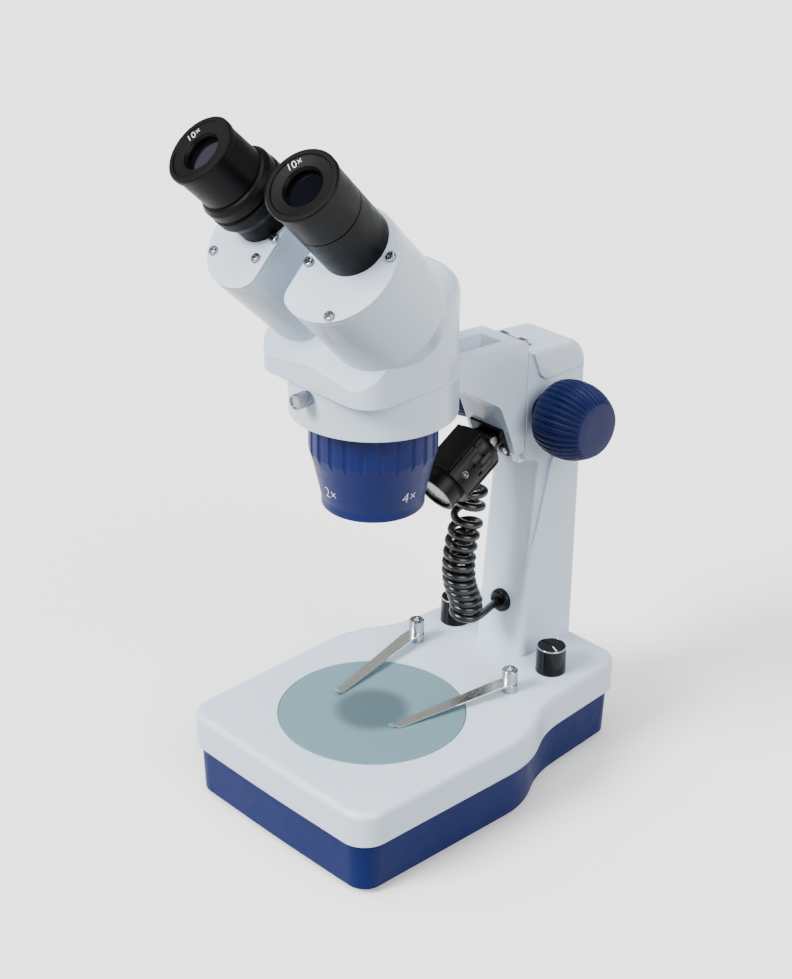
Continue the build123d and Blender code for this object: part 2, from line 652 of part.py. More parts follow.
# the grommet snaps into the front of the pillar and leans with it
GROMMET_Y = panel_y(GROMMET_Z)
LEAN = Plane(origin=at(0, GROMMET_Y, GROMMET_Z), x_dir=(1, 0, 0), z_dir=(0, -1, PANEL_SLOPE))
GROMMET_FACE = 2.6
with BuildPart() as pillar_grommet:
    with BuildSketch(LEAN):
        Circle(GROMMET_RADIUS)
    extrude(amount=GROMMET_FACE)
    fillet(pillar_grommet.edges().group_by(Axis.Y)[0], 1.0)
    with BuildSketch(Plane(origin=at(0, GROMMET_Y - 0.2, GROMMET_Z), x_dir=(1, 0, 0), z_dir=(0, 1, 0))):
        Circle(GROMMET_RADIUS - 1.5 - THREAD_GAP)
    extrude(amount=PILLAR_WALL + 2)
    with BuildSketch(Plane(origin=at(0, GROMMET_Y - 10, GROMMET_Z), x_dir=(1, 0, 0), z_dir=(0, 1, 0))):
        Circle(WIRE_RADIUS + THREAD_GAP)
    extrude(amount=FAR, mode=Mode.SUBTRACT)
save(pillar_grommet, "pillar_grommet")

# ======== focus drive ========
RECESS_X = PILLAR_HALF - SIDE_RECESS
BUSH_FLANGE = 1.2
PITCH_RADIUS = GEAR_MODULE * GEAR_TEETH / 2
SHAFT_PLANE = Plane(origin=at(0, SHAFT_Y, FOCUS_Z), x_dir=(0, 1, 0), z_dir=(1, 0, 0))

with BuildPart() as shaft_bushes:
    for side in (-1, 1):
        with BuildSketch(SHAFT_PLANE.offset(side * RECESS_X)):
            Circle(BUSH_RADIUS + 2)
        extrude(amount=side * BUSH_FLANGE)
        with BuildSketch(SHAFT_PLANE.offset(side * (GEAR_WIDTH / 2 + 3))):
            Circle(BUSH_RADIUS)
        extrude(amount=side * (RECESS_X - GEAR_WIDTH / 2 - 3))
    with BuildSketch(SHAFT_PLANE.offset(-FAR / 2)):
        Circle(SHAFT_RADIUS + RUN_FIT)
    extrude(amount=FAR, mode=Mode.SUBTRACT)
save(shaft_bushes, "shaft_bushes")

ROOT_RADIUS = PITCH_RADIUS - 1.2 * GEAR_MODULE
TIP_RADIUS = PITCH_RADIUS + 0.8 * GEAR_MODULE
with BuildSketch() as gear_tooth:
    with BuildLine():
        Polyline(
            (ROOT_RADIUS - 0.5, -TOOTH_HALF - 0.35), (PITCH_RADIUS, -TOOTH_HALF),
            (TIP_RADIUS, -TOOTH_HALF + 0.3), (TIP_RADIUS, TOOTH_HALF - 0.3), (PITCH_RADIUS, TOOTH_HALF),
            (ROOT_RADIUS - 0.5, TOOTH_HALF + 0.35), close=True,
        )
    make_face()

with BuildPart() as pinion_shaft:
    with BuildSketch(SHAFT_PLANE.offset(-KNOB_OUTER_X + 4)):
        Circle(SHAFT_RADIUS)
    extrude(amount=2 * KNOB_OUTER_X - 8)
    with BuildSketch(SHAFT_PLANE.offset(-GEAR_WIDTH / 2)):
        Circle(ROOT_RADIUS)
        # one tooth points at the rack, so that the teeth are in mesh as drawn
        with PolarLocations(0, GEAR_TEETH, start_angle=180):
            add(gear_tooth.sketch)
    extrude(amount=GEAR_WIDTH)
save(pinion_shaft, "pinion_shaft")

KNOB_HUB = 9.0
GROOVE = 0.9
for name, side in SIDES.items():
    with BuildPart() as focus_knob:
        with BuildSketch(Plane(origin=at(0, SHAFT_Y, FOCUS_Z), x_dir=(side, 0, 0), z_dir=(0, 0, 1))):
            with BuildLine():
                Polyline((RECESS_X + BUSH_FLANGE + PASS_GAP, 0), (RECESS_X + BUSH_FLANGE + PASS_GAP, KNOB_HUB))
                Polyline((RECESS_X + BUSH_FLANGE + PASS_GAP, KNOB_HUB), (KNOB_INNER_X, KNOB_HUB))
                Polyline((KNOB_INNER_X, KNOB_HUB), (KNOB_INNER_X, KNOB_RADIUS * 0.86))
                ThreePointArc(
                    (KNOB_INNER_X, KNOB_RADIUS * 0.86), (KNOB_INNER_X * 0.6 + KNOB_OUTER_X * 0.4, KNOB_RADIUS),
                    (KNOB_OUTER_X, KNOB_FACE_RADIUS),
                )
                Polyline((KNOB_OUTER_X, KNOB_FACE_RADIUS), (KNOB_OUTER_X, 0))
                Polyline((KNOB_OUTER_X, 0), (RECESS_X + BUSH_FLANGE + PASS_GAP, 0))
            make_face()
        revolve(axis=Axis(at(0, SHAFT_Y, FOCUS_Z), (1, 0, 0)))
        with BuildSketch(SHAFT_PLANE.offset(side * KNOB_INNER_X)):
            with PolarLocations(KNOB_RADIUS + GROOVE / 3, KNOB_RIDGES):
                Circle(GROOVE)
        extrude(amount=side * FAR, mode=Mode.SUBTRACT)
        with BuildSketch(SHAFT_PLANE):
            Circle(SHAFT_RADIUS + THREAD_GAP)
        extrude(amount=side * (KNOB_OUTER_X - 4 + PASS_GAP), mode=Mode.SUBTRACT)
    save(focus_knob, f"focus_knob_{name}")

# ======== slide and arm ========
SLIDE_FRONT = SEAM_Y - PASS_GAP
SLIDE_REAR = SEAM_Y + SLIDE_DEPTH
RACK_ROOT = SLIDE_REAR - 2.2 * GEAR_MODULE
RACK_BACK = RACK_ROOT - 1.4

with BuildPart() as focus_slide:
    with BuildSketch(level(SLIDE_BOTTOM)):
        with BuildLine():
            Polyline(
                (-SLIDE_FRONT_HALF, SLIDE_FRONT), (SLIDE_FRONT_HALF, SLIDE_FRONT),
                (SLIDE_FRONT_HALF, SEAM_Y + 1), (SLIDE_BACK_HALF, SLIDE_REAR),
                (-SLIDE_BACK_HALF, SLIDE_REAR), (-SLIDE_FRONT_HALF, SEAM_Y + 1), close=True,
            )
        make_face()
    extrude(amount=SLIDE_TOP - SLIDE_BOTTOM)
    with BuildSketch(level(SLIDE_BOTTOM - 1)):
        with Locations((0, RACK_BACK)):
            Rectangle(2 * RACK_HALF, FAR, align=(Align.CENTER, Align.MIN))
    extrude(amount=FAR, mode=Mode.SUBTRACT)
save(focus_slide, "focus_slide")

RACK_PITCH = pi * GEAR_MODULE
PITCH_Y = SLIDE_REAR - GEAR_MODULE
RACK_LOW = int((FOCUS_Z - SLIDE_BOTTOM - 2) / RACK_PITCH)
RACK_HIGH = int((SLIDE_TOP - FOCUS_Z - 2) / RACK_PITCH)
with BuildPart() as focus_rack:
    with BuildSketch(flank(-RACK_HALF + THREAD_GAP)):
        with Locations((RACK_BACK, SLIDE_BOTTOM)):
            Rectangle(RACK_ROOT - RACK_BACK, SLIDE_TOP - SLIDE_BOTTOM, align=(Align.MIN, Align.MIN))
        for step in range(-RACK_LOW, RACK_HIGH):
            tooth_z = FOCUS_Z + (step + 0.5) * RACK_PITCH
            with BuildLine():
                Polyline(
                    (RACK_ROOT - 0.3, tooth_z - TOOTH_HALF - 0.4), (PITCH_Y, tooth_z - TOOTH_HALF),
                    (PITCH_Y + 0.8 * GEAR_MODULE, tooth_z - TOOTH_HALF + 0.3),
                    (PITCH_Y + 0.8 * GEAR_MODULE, tooth_z + TOOTH_HALF - 0.3), (PITCH_Y, tooth_z + TOOTH_HALF),
                    (RACK_ROOT - 0.3, tooth_z + TOOTH_HALF + 0.4), close=True,
                )
            make_face()
    extrude(amount=2 * (RACK_HALF - THREAD_GAP))
save(focus_rack, "focus_rack")

# steel gibs fill the channel on both sides of the slide
with BuildPart() as slide_gibs:
    with BuildSketch(level(PANEL_TOP_Z + 1)):
        for side in (-1, 1):
            with BuildLine():
                Polyline(
                    (side * (SLIDE_FRONT_HALF + RUN_FIT), SEAM_Y + PASS_GAP),
                    (side * CHANNEL_HALF, SEAM_Y + PASS_GAP),
                    (side * CHANNEL_HALF, CHANNEL_REAR), (side * (SLIDE_BACK_HALF + RUN_FIT), CHANNEL_REAR),
                    (side * (SLIDE_BACK_HALF + RUN_FIT), SLIDE_REAR),
                    (side * (SLIDE_FRONT_HALF + RUN_FIT), SEAM_Y + 1), close=True,
                )
            make_face()
    extrude(amount=SHOULDER_Z + 12 - PANEL_TOP_Z)
    with BuildSketch(SHAFT_PLANE.offset(-FAR / 2)):
        Circle(BUSH_RADIUS + PASS_GAP)
    extrude(amount=FAR, mode=Mode.SUBTRACT)
save(slide_gibs, "slide_gibs")

ARM_REAR = SLIDE_FRONT
THUMB_PLANE = Plane(origin=at(0, 0, THUMB_Z), x_dir=(1, 0, 0), z_dir=(0, -1, 0))
with BuildPart() as arm:
    with BuildSketch(flank(-ARM_HALF)):
        with BuildLine():
            FilletPolyline(
                (20, RING_BOTTOM), (43, RING_BOTTOM), (71.5, 150.5), (77.8, 136), (ARM_FOOT_FRONT, ARM_FOOT_Z),
                (ARM_REAR, ARM_FOOT_Z), (ARM_REAR, ARM_REAR_TOP), (20, ARM_TOP + 1),
                radius=[0, 22, 9, 10, 0.8, 0, 2.5, 0], close=True,
            )
        make_face()
    extrude(amount=2 * ARM_HALF)
    fillet(arm.edges().filter_by(GeomType.LINE).group_by(Axis.Z)[-1], 3.5)
    with BuildSketch(level(RING_BOTTOM)):
        Circle(RING_RADIUS)
    extrude(amount=RING_TOP - RING_BOTTOM)
    chamfer(arm.edges().filter_by(GeomType.CIRCLE).group_by(Axis.Z)[-1], 0.6)
    with BuildSketch(level(0)):
        Circle(SPIGOT_RADIUS + RUN_FIT)
    extrude(amount=FAR, mode=Mode.SUBTRACT)
    with BuildSketch(level(ARM_TOP - POCKET_DEPTH)):
        with Locations((0, (POCKET_FRONT + POCKET_REAR) / 2)):
            RectangleRounded(2 * POCKET_HALF, POCKET_REAR - POCKET_FRONT, 0.8)
    extrude(amount=FAR, mode=Mode.SUBTRACT)
    with BuildSketch(THUMB_PLANE):
        Circle(SCREW_RADIUS + THREAD_GAP)
    extrude(amount=FAR, mode=Mode.SUBTRACT)
save(arm, "arm")

with BuildPart() as thumb_screw:
    with BuildSketch(THUMB_PLANE.offset(SPIGOT_RADIUS + PASS_GAP)):
        Circle(SCREW_RADIUS)
    extrude(amount=RING_RADIUS - SPIGOT_RADIUS + 1)
    with BuildSketch(THUMB_PLANE.offset(RING_RADIUS + PASS_GAP)):
        Circle(THUMB_RADIUS)
    extrude(amount=THUMB_LENGTH)
    chamfer(thumb_screw.edges().filter_by(GeomType.CIRCLE).group_by(Axis.Y)[0], 0.5)
    with BuildSketch(THUMB_PLANE.offset(RING_RADIUS + 2)):
        with PolarLocations(THUMB_RADIUS + 0.1, 20):
            Circle(0.35)
    extrude(amount=FAR, mode=Mode.SUBTRACT)
save(thumb_screw, "thumb_screw")


# ======== lamp ========
lean = radians(LAMP_TILT)
BEAM = Vector(0, -cos(lean), -sin(lean))
LAMP_REAR = Plane(origin=at(0, LAMP_REAR_Y, LAMP_REAR_Z), x_dir=(1, 0, 0), z_dir=BEAM)
PIN_BACK = LAMP_KNUCKLE + 0.2
PIN_PLACE = Vector(*at(0, LAMP_REAR_Y, LAMP_REAR_Z)) - BEAM * PIN_BACK
PIN_PLANE = Plane(origin=PIN_PLACE, x_dir=(0, 1, 0), z_dir=(1, 0, 0))
GLAND_TOP = LAMP_REAR_Z - (LAMP_REAR_Y - GLAND_Y) * tan(lean) - LAMP_RADIUS + 1
LAMP_MOUTH = LAMP_LENGTH + LAMP_NOSE_LENGTH

with BuildPart() as lamp_housing:
    with BuildSketch(LAMP_REAR):
        Circle(LAMP_RADIUS)
    extrude(amount=LAMP_LENGTH)
    fillet(lamp_housing.edges().filter_by(GeomType.CIRCLE).sort_by(Axis.Y)[-1], 3.5)
    with BuildSketch(LAMP_REAR):
        with Locations((0, LAMP_FLAT - LAMP_COVER)):
            Rectangle(4 * LAMP_RADIUS, LAMP_RADIUS, align=(Align.CENTER, Align.MIN))
    extrude(amount=LAMP_LENGTH, mode=Mode.SUBTRACT)
    with BuildSketch(LAMP_REAR.offset(LAMP_LENGTH - 1)):
        Circle(LAMP_NOSE_RADIUS)
    extrude(amount=LAMP_NOSE_LENGTH + 1)
    with BuildSketch(LAMP_REAR.offset(4)):
        Circle(LAMP_BORE)
    extrude(amount=FAR, mode=Mode.SUBTRACT)
    # vent slots round the rear half of the barrel
    with BuildSketch(LAMP_REAR.offset(8)):
        with PolarLocations(LAMP_RADIUS, 12, start_angle=-150, angular_range=300):
            Rectangle(3.0, 1.6)
    extrude(amount=9, mode=Mode.SUBTRACT)
    # knuckle of the tilting hinge behind the barrel, and the spout that the cord leaves by
    with BuildSketch(PIN_PLANE.offset(-LAMP_KNUCKLE_HALF)):
        Circle(LAMP_KNUCKLE)
    extrude(amount=2 * LAMP_KNUCKLE_HALF)
    with BuildSketch(LAMP_REAR):
        Rectangle(2 * LAMP_KNUCKLE_HALF, 2 * LAMP_KNUCKLE - 1)
    extrude(amount=-PIN_BACK + 0.5)
    with BuildSketch(PIN_PLANE.offset(-LAMP_KNUCKLE_HALF)):
        Circle(LAMP_PIN_RADIUS + RUN_FIT)
    extrude(amount=2 * LAMP_KNUCKLE_HALF, mode=Mode.SUBTRACT)
    with BuildSketch(level(GLAND_TOP - GLAND_LENGTH)):
        with Locations((0, GLAND_Y)):
            Circle(GLAND_RADIUS)
    extrude(amount=GLAND_LENGTH + 2.5)
save(lamp_housing, "lamp_housing")

COVER_HALF = (LAMP_RADIUS ** 2 - (LAMP_FLAT - LAMP_COVER) ** 2) ** 0.5 - 0.8
with BuildPart() as lamp_cover:
    with BuildSketch(LAMP_REAR.offset(1.5)):
        with Locations((0, LAMP_FLAT - LAMP_COVER)):
            Rectangle(2 * COVER_HALF, LAMP_COVER, align=(Align.CENTER, Align.MIN))
    extrude(amount=LAMP_LENGTH - 2)
save(lamp_cover, "lamp_cover")

with BuildPart() as lamp_lens:
    with BuildSketch(LAMP_REAR.offset(LAMP_MOUTH - 3.5)):
        Circle(LAMP_BORE - THREAD_GAP)
    extrude(amount=2.0)
    fillet(lamp_lens.edges().group_by(Axis.Y)[0], 0.8)
save(lamp_lens, "lamp_lens")

# bulb, its reflector cup and its pin base, seated on the back wall of the barrel
with BuildPart() as lamp_bulb:
    with BuildSketch(Plane(origin=LAMP_REAR.origin, x_dir=BEAM, z_dir=(1, 0, 0))):
        with BuildLine():
            Polyline(
                (4, 0), (4, 5), (12, 5), (13, 6.2), (22, LAMP_BORE - 1.2), (22, LAMP_BORE - 2.2), (14.5, 4.6),
                (14.5, 2.8), (20, 2.8), (21.5, 0), close=True,
            )
        make_face()
    revolve(axis=Axis(LAMP_REAR.origin, BEAM))
save(lamp_bulb, "lamp_bulb")

# steel bracket on the front of the arm's foot, with two ears for the lamp's pin
EAR_THICKNESS = 1.5
WEB_TOP = (77.8, 136.0)
WEB_BOTTOM = (ARM_FOOT_FRONT, ARM_FOOT_Z)
web_run = Vector(0, WEB_BOTTOM[0] - WEB_TOP[0], WEB_BOTTOM[1] - WEB_TOP[1]).normalized()
WEB_PLANE = Plane(origin=at(0, WEB_BOTTOM[0], WEB_BOTTOM[1]), x_dir=(1, 0, 0), z_dir=web_run.cross(Vector(1, 0, 0)))
BRACKET_HALF = 11.0
BRACKET_HEIGHT = 15.5
SCREW_SEAT = 8.5
with BuildPart() as lamp_bracket:
    with BuildSketch(WEB_PLANE):
        with Locations((0, -1.2)):
            Rectangle(2 * BRACKET_HALF, BRACKET_HEIGHT + 1.2, align=(Align.CENTER, Align.MIN))
    extrude(amount=EAR_THICKNESS)
    for side in (-1, 1):
        with BuildSketch(PIN_PLANE.offset(side * (LAMP_KNUCKLE_HALF + PASS_GAP))):
            Circle(LAMP_KNUCKLE)
            with Locations((0, 0)):
                Rectangle(WEB_BOTTOM[0] - LAMP_REAR_Y - 2.4, 2 * LAMP_KNUCKLE, align=(Align.MIN, Align.CENTER))
        extrude(amount=side * EAR_THICKNESS)
    with BuildSketch(WEB_PLANE):
        Rectangle(FAR, FAR)
    extrude(amount=-FAR, mode=Mode.SUBTRACT)
    with BuildSketch(PIN_PLANE.offset(-FAR / 2)):
        Circle(LAMP_PIN_RADIUS + THREAD_GAP)
    extrude(amount=FAR, mode=Mode.SUBTRACT)
    with BuildSketch(WEB_PLANE.offset(-1)):
        with Locations((SCREW_SEAT, 2.4), (-SCREW_SEAT, 2.4)):
            Circle(1.5 + THREAD_GAP)
    extrude(amount=4, mode=Mode.SUBTRACT)
save(lamp_bracket, "lamp_bracket")

with BuildPart() as lamp_pin:
    with BuildSketch(PIN_PLANE.offset(-LAMP_KNUCKLE_HALF - PASS_GAP - EAR_THICKNESS - 1)):
        Circle(LAMP_PIN_RADIUS)
    extrude(amount=2 * (LAMP_KNUCKLE_HALF + PASS_GAP + EAR_THICKNESS + 1))
    for side in (-1, 1):
        with BuildSketch(PIN_PLANE.offset(side * (LAMP_KNUCKLE_HALF + PASS_GAP + EAR_THICKNESS + 0.05))):
            Circle(LAMP_PIN_RADIUS + 1)
        extrude(amount=side * 1.2)
save(lamp_pin, "lamp_pin")

with BuildPart() as bracket_screws:
    with BuildSketch(WEB_PLANE.offset(EAR_THICKNESS)):
        with Locations((SCREW_SEAT, 2.4), (-SCREW_SEAT, 2.4)):
            Circle(2.6)
    extrude(amount=1.8)
    fillet(bracket_screws.edges().group_by(Axis.Y)[0], 0.7)
    with BuildSketch(WEB_PLANE):
        with Locations((SCREW_SEAT, 2.4), (-SCREW_SEAT, 2.4)):
            Circle(1.5)
    extrude(amount=EAR_THICKNESS)
save(bracket_screws, "lamp_bracket_screws")

# ======== curly cord ========
COIL_POINTS = [at(0, y, z) for y, z in COIL_ROUTE]
LEAD_POINTS = [at(0, y, z) for y, z in LEAD_ROUTE]


def corner_radii(points):
    """The largest even arc at each corner: 0.45 of the shorter run over the tangent of half the turn."""
    radii = []
    for before, corner, after in zip(points, points[1:], points[2:]):
        first = Vector(*corner) - Vector(*before)
        second = Vector(*after) - Vector(*corner)
        half_turn = radians(first.get_angle(second)) / 2
        radii.append(0.45 * min(first.length, second.length) / tan(half_turn))
    return radii


def tube(points, radius, name):
    """A round tube along straight runs joined by arcs."""
    radii = corner_radii(points)
    with BuildPart() as piece:
        with BuildLine() as path:
            FilletPolyline(*points, radius=radii)
        with BuildSketch(path.line ^ 0):
            Circle(radius)
        sweep(path=path.line)
    length = sum(edge.length for edge in path.line.edges())
    print(name, "bend radii", [round(r, 1) for r in radii], "length", round(length, 1),
          "volume ratio", round(piece.part.volume / (pi * radius ** 2 * length), 4))
    return piece


cord_coil = tube(COIL_POINTS, COIL_RADIUS, "cord_coil")
save(cord_coil, "cord_coil")
cord_lead = tube(LEAD_POINTS, WIRE_RADIUS, "cord_lead_pillar")
with BuildPart() as cord_lead_pillar:
    add(cord_lead.part)
    add(cord_coil.part, mode=Mode.SUBTRACT)
save(cord_lead_pillar, "cord_lead_pillar")

with BuildPart() as cord_lead_lamp:
    with BuildSketch(level(COIL_TOP_Z)):
        with Locations((0, GLAND_Y)):
            Circle(WIRE_RADIUS)
    extrude(amount=GLAND_TOP - GLAND_LENGTH - COIL_TOP_Z)
save(cord_lead_lamp, "cord_lead_lamp")


# ======== head ========
def pivot_plane(side, distance=0.0):
    """A plane across a prism housing's pivot, facing up the eyepiece tube; it leans back and toes out."""
    toe = radians(TOE_OUT)
    tilt = radians(TUBE_TILT)
    up_tube = Vector(side * sin(toe), -cos(toe) * cos(tilt), cos(toe) * sin(tilt))
    across = Vector(cos(toe), side * sin(toe) * cos(tilt), -side * sin(toe) * sin(tilt))
    pivot = Vector(*at(side * PIVOT_X, PIVOT_Y, PIVOT_Z))
    return Plane(origin=pivot + up_tube * distance, x_dir=across, z_dir=up_tube)


def tube_plane(side, distance=0.0):
    """A plane across an eyepiece tube, at a distance above the top of the housing's cap plate."""
    seat = pivot_plane(side, HOUSING_LENGTH + CAP_THICKNESS + distance)
    return Plane(origin=seat.from_local_coords((side * TUBE_OUT, TUBE_UP, 0)), x_dir=seat.x_dir, z_dir=seat.z_dir)


def tube_section(side):
    """A plane through a tube's axis for spun profiles: first axis outwards, second up the tube."""
    seat = tube_plane(side)
    return Plane(origin=seat.origin, x_dir=seat.x_dir, z_dir=seat.x_dir.cross(seat.z_dir))


def tube_axis(side):
    seat = tube_plane(side)
    return Axis(seat.origin, seat.z_dir)


def pivot_axis(side):
    seat = pivot_plane(side)
    return Axis(seat.origin, seat.z_dir)


def housing_face(side, distance, inset=0.0):
    """The section of a prism housing: a circle on the pivot with a flat towards the other housing."""
    with BuildSketch(pivot_plane(side, distance)) as section:
        Circle(HOUSING_RADIUS - inset)
        with Locations((-side * (HOUSING_FLAT - inset), 0)):
            Rectangle(FAR, FAR, align=(Align.MAX if side > 0 else Align.MIN, Align.CENTER), mode=Mode.SUBTRACT)
        fillet(section.vertices(), max(HOUSING_CORNER - inset, 1))
    return section.sketch


def head_face(z, inset=0.0):
    """The plan of the head: square in front, round behind."""
    half = HEAD_HALF - inset
    front = HEAD_FRONT - inset
    with BuildSketch(level(z)) as plan:
        with BuildLine():
            ThreePointArc((half, 0), (0, half), (-half, 0))
            Polyline((-half, 0), (-half, -front), (half, -front), (half, 0))
        make_face()
        fillet(plan.vertices().group_by(Axis.Y)[0], HEAD_CORNER - inset)
    return plan.sketch


# the hollow keeps a full wall under the two slanting seats
with BuildPart() as head_cavity:
    extrude(head_face(RING_TOP + 2, HEAD_WALL), amount=18)
    for side in (-1, 1):
        with BuildSketch(pivot_plane(side, -HEAD_WALL)):
            Rectangle(FAR, FAR)
        extrude(amount=FAR, mode=Mode.SUBTRACT)

with BuildPart() as head_casting:
    extrude(head_face(RING_TOP), amount=HEAD_TOP - RING_TOP)
    fillet(head_casting.edges().group_by(Axis.Z)[-1], HEAD_CROWN)
    for side in (-1, 1):
        with BuildSketch(pivot_plane(side)):
            Rectangle(FAR, FAR)
        extrude(amount=FAR, mode=Mode.SUBTRACT)
    for side in (-1, 1):
        extrude(housing_face(side, 0), amount=-16, taper=24)
    add(head_cavity.part, mode=Mode.SUBTRACT)
    with BuildSketch(level(SPIGOT_BOTTOM)):
        Circle(SPIGOT_RADIUS)
    extrude(amount=RING_TOP - SPIGOT_BOTTOM + 2)
    with BuildSketch(level(SPIGOT_BOTTOM + SPIGOT_FLOOR)):
        Circle(SPIGOT_RADIUS - HEAD_WALL)
    extrude(amount=RING_TOP - SPIGOT_BOTTOM + 6, mode=Mode.SUBTRACT)
    with BuildSketch(level(SPIGOT_BOTTOM)):
        Circle(HUB_RADIUS + RUN_FIT)
        with PolarLocations(OBJECTIVE_SPREAD + 5.5, 2):
            Circle(OBJECTIVE_RADIUS + 1.2)
    extrude(amount=SPIGOT_FLOOR, mode=Mode.SUBTRACT)
    for side in (-1, 1):
        with BuildSketch(pivot_plane(side)):
            Circle(HUB_OUTER + RUN_FIT)
        extrude(amount=-HUB_LENGTH - 12, mode=Mode.SUBTRACT)
save(head_casting, "head_casting")


# ======== turret ========
SPIN_PLANE = Plane(origin=at(0, 0, 0), x_dir=(1, 0, 0), z_dir=(0, -1, 0))
SPIN_AXIS = Axis(at(0, 0, 0), (0, 0, 1))
CORE_TOP = SPIGOT_BOTTOM - 0.4
CORE_BOTTOM = CORE_TOP - CORE_THICKNESS
HUB_TOP = SPIGOT_BOTTOM + SPIGOT_FLOOR + PASS_GAP

with BuildPart() as turret_shell:
    with BuildSketch(SPIN_PLANE):
        with BuildLine():
            Polyline(
                (TURRET_RADIUS, TURRET_TOP), (TURRET_RADIUS, TURRET_NECK_Z + 8),
                (TURRET_RADIUS - 2.2, TURRET_NECK_Z),
                (TURRET_LOW_RADIUS, TURRET_CONE_Z), (TURRET_LOW_RADIUS, TURRET_BOTTOM),
                (TURRET_MOUTH, TURRET_BOTTOM), (TURRET_MOUTH, TURRET_BOTTOM + 2),
                (TURRET_LOW_RADIUS - TURRET_WALL, TURRET_BOTTOM + 2),
                (TURRET_LOW_RADIUS - TURRET_WALL, TURRET_CONE_Z + 1),
                (TURRET_RADIUS - 2.2 - TURRET_WALL, TURRET_NECK_Z + 1),
                (TURRET_RADIUS - TURRET_WALL, TURRET_NECK_Z + 9),
                (TURRET_RADIUS - TURRET_WALL, TURRET_TOP), close=True,
            )
        make_face()
    revolve(axis=SPIN_AXIS)
    fillet(turret_shell.edges().filter_by(GeomType.CIRCLE).group_by(Axis.Z)[0].sort_by(SortBy.RADIUS)[-1], 0.8)
    # flutes for the fingers, which run out on the cone
    with BuildSketch(level(TURRET_NECK_Z - 1)):
        with PolarLocations(TURRET_RADIUS + 1.5, TURRET_FLUTES, start_angle=180 / TURRET_FLUTES):
            Circle(2.3)
    extrude(amount=FAR, mode=Mode.SUBTRACT)
save(turret_shell, "turret_shell")


def objective_plane(angle, distance):
    """A plane across an objective, which leans out from the specimen by the toe-out angle."""
    turn = radians(angle)
    toe = radians(TOE_OUT)
    out = Vector(cos(turn), sin(turn), 0)
    up = Vector(0, 0, cos(toe)) + out * sin(toe)
    foot = Vector(*at(0, 0, OBJECTIVE_LOW_Z)) + out * OBJECTIVE_SPREAD
    return Plane(origin=foot + up * distance, x_dir=(-sin(turn), cos(turn), 0), z_dir=up)


with BuildPart() as turret_core:
    with BuildSketch(level(CORE_BOTTOM)):
        Circle(TURRET_RADIUS - TURRET_WALL)
    extrude(amount=CORE_THICKNESS)
    with BuildSketch(level(CORE_TOP)):
        Circle(HUB_RADIUS)
    extrude(amount=HUB_TOP - CORE_TOP)
    with BuildSketch(level(HUB_TOP)):
        Circle(HUB_RADIUS + 2.5)
    extrude(amount=2.5)
    for angle in (0, 90, 180, 270):
        with BuildSketch(objective_plane(angle, 0)):
            Circle(OBJECTIVE_RADIUS + THREAD_GAP)
        extrude(amount=FAR / 4, mode=Mode.SUBTRACT)
    with BuildSketch(level(CORE_TOP)):
        Circle(HUB_RADIUS)
    extrude(amount=HUB_TOP + 2.5 - CORE_TOP)
save(turret_core, "turret_core")

# the low pair lies across and starts higher, the high pair lies fore and aft
OBJECTIVE_FRONTS = {0: 5.0, 180: 5.0, 90: 0.0, 270: 0.0}
OBJECTIVE_WALL = 1.4
with BuildPart() as objectives:
    for angle, front in OBJECTIVE_FRONTS.items():
        with BuildSketch(objective_plane(angle, front)):
            Circle(OBJECTIVE_RADIUS)
            Circle(OBJECTIVE_RADIUS - OBJECTIVE_WALL, mode=Mode.SUBTRACT)
        extrude(amount=OBJECTIVE_LENGTH)
        with BuildSketch(objective_plane(angle, front + 1)):
            Circle(OBJECTIVE_RADIUS - OBJECTIVE_WALL / 2)
        extrude(amount=2.2)
    # the tops are faced level with the core
    with BuildSketch(level(CORE_TOP)):
        Rectangle(FAR, FAR)
    extrude(amount=FAR, mode=Mode.SUBTRACT)
save(objectives, "objectives")

# ======== prism housings, caps, tubes and eyepieces ========
PRISM_LOW = HOUSING_WALL + 0.1
PRISM_HIGH = PRISM_LOW + PRISM_LOW_HALF + 0.1
SPIGOT_LENGTH = 2.0
TUBE_BORE = INSERT_RADIUS + RUN_FIT
RIM_TOP = TUBE_HEIGHT + EYE_LENGTH


def spin_on_tube(side, points):
    """A piece spun round an eyepiece tube from (radius, height above the cap plate) points."""
    with BuildPart() as piece:
        with BuildSketch(tube_section(side)):
            with BuildLine():
                Polyline(*points, close=True)
            make_face()
        revolve(axis=tube_axis(side))
    return piece


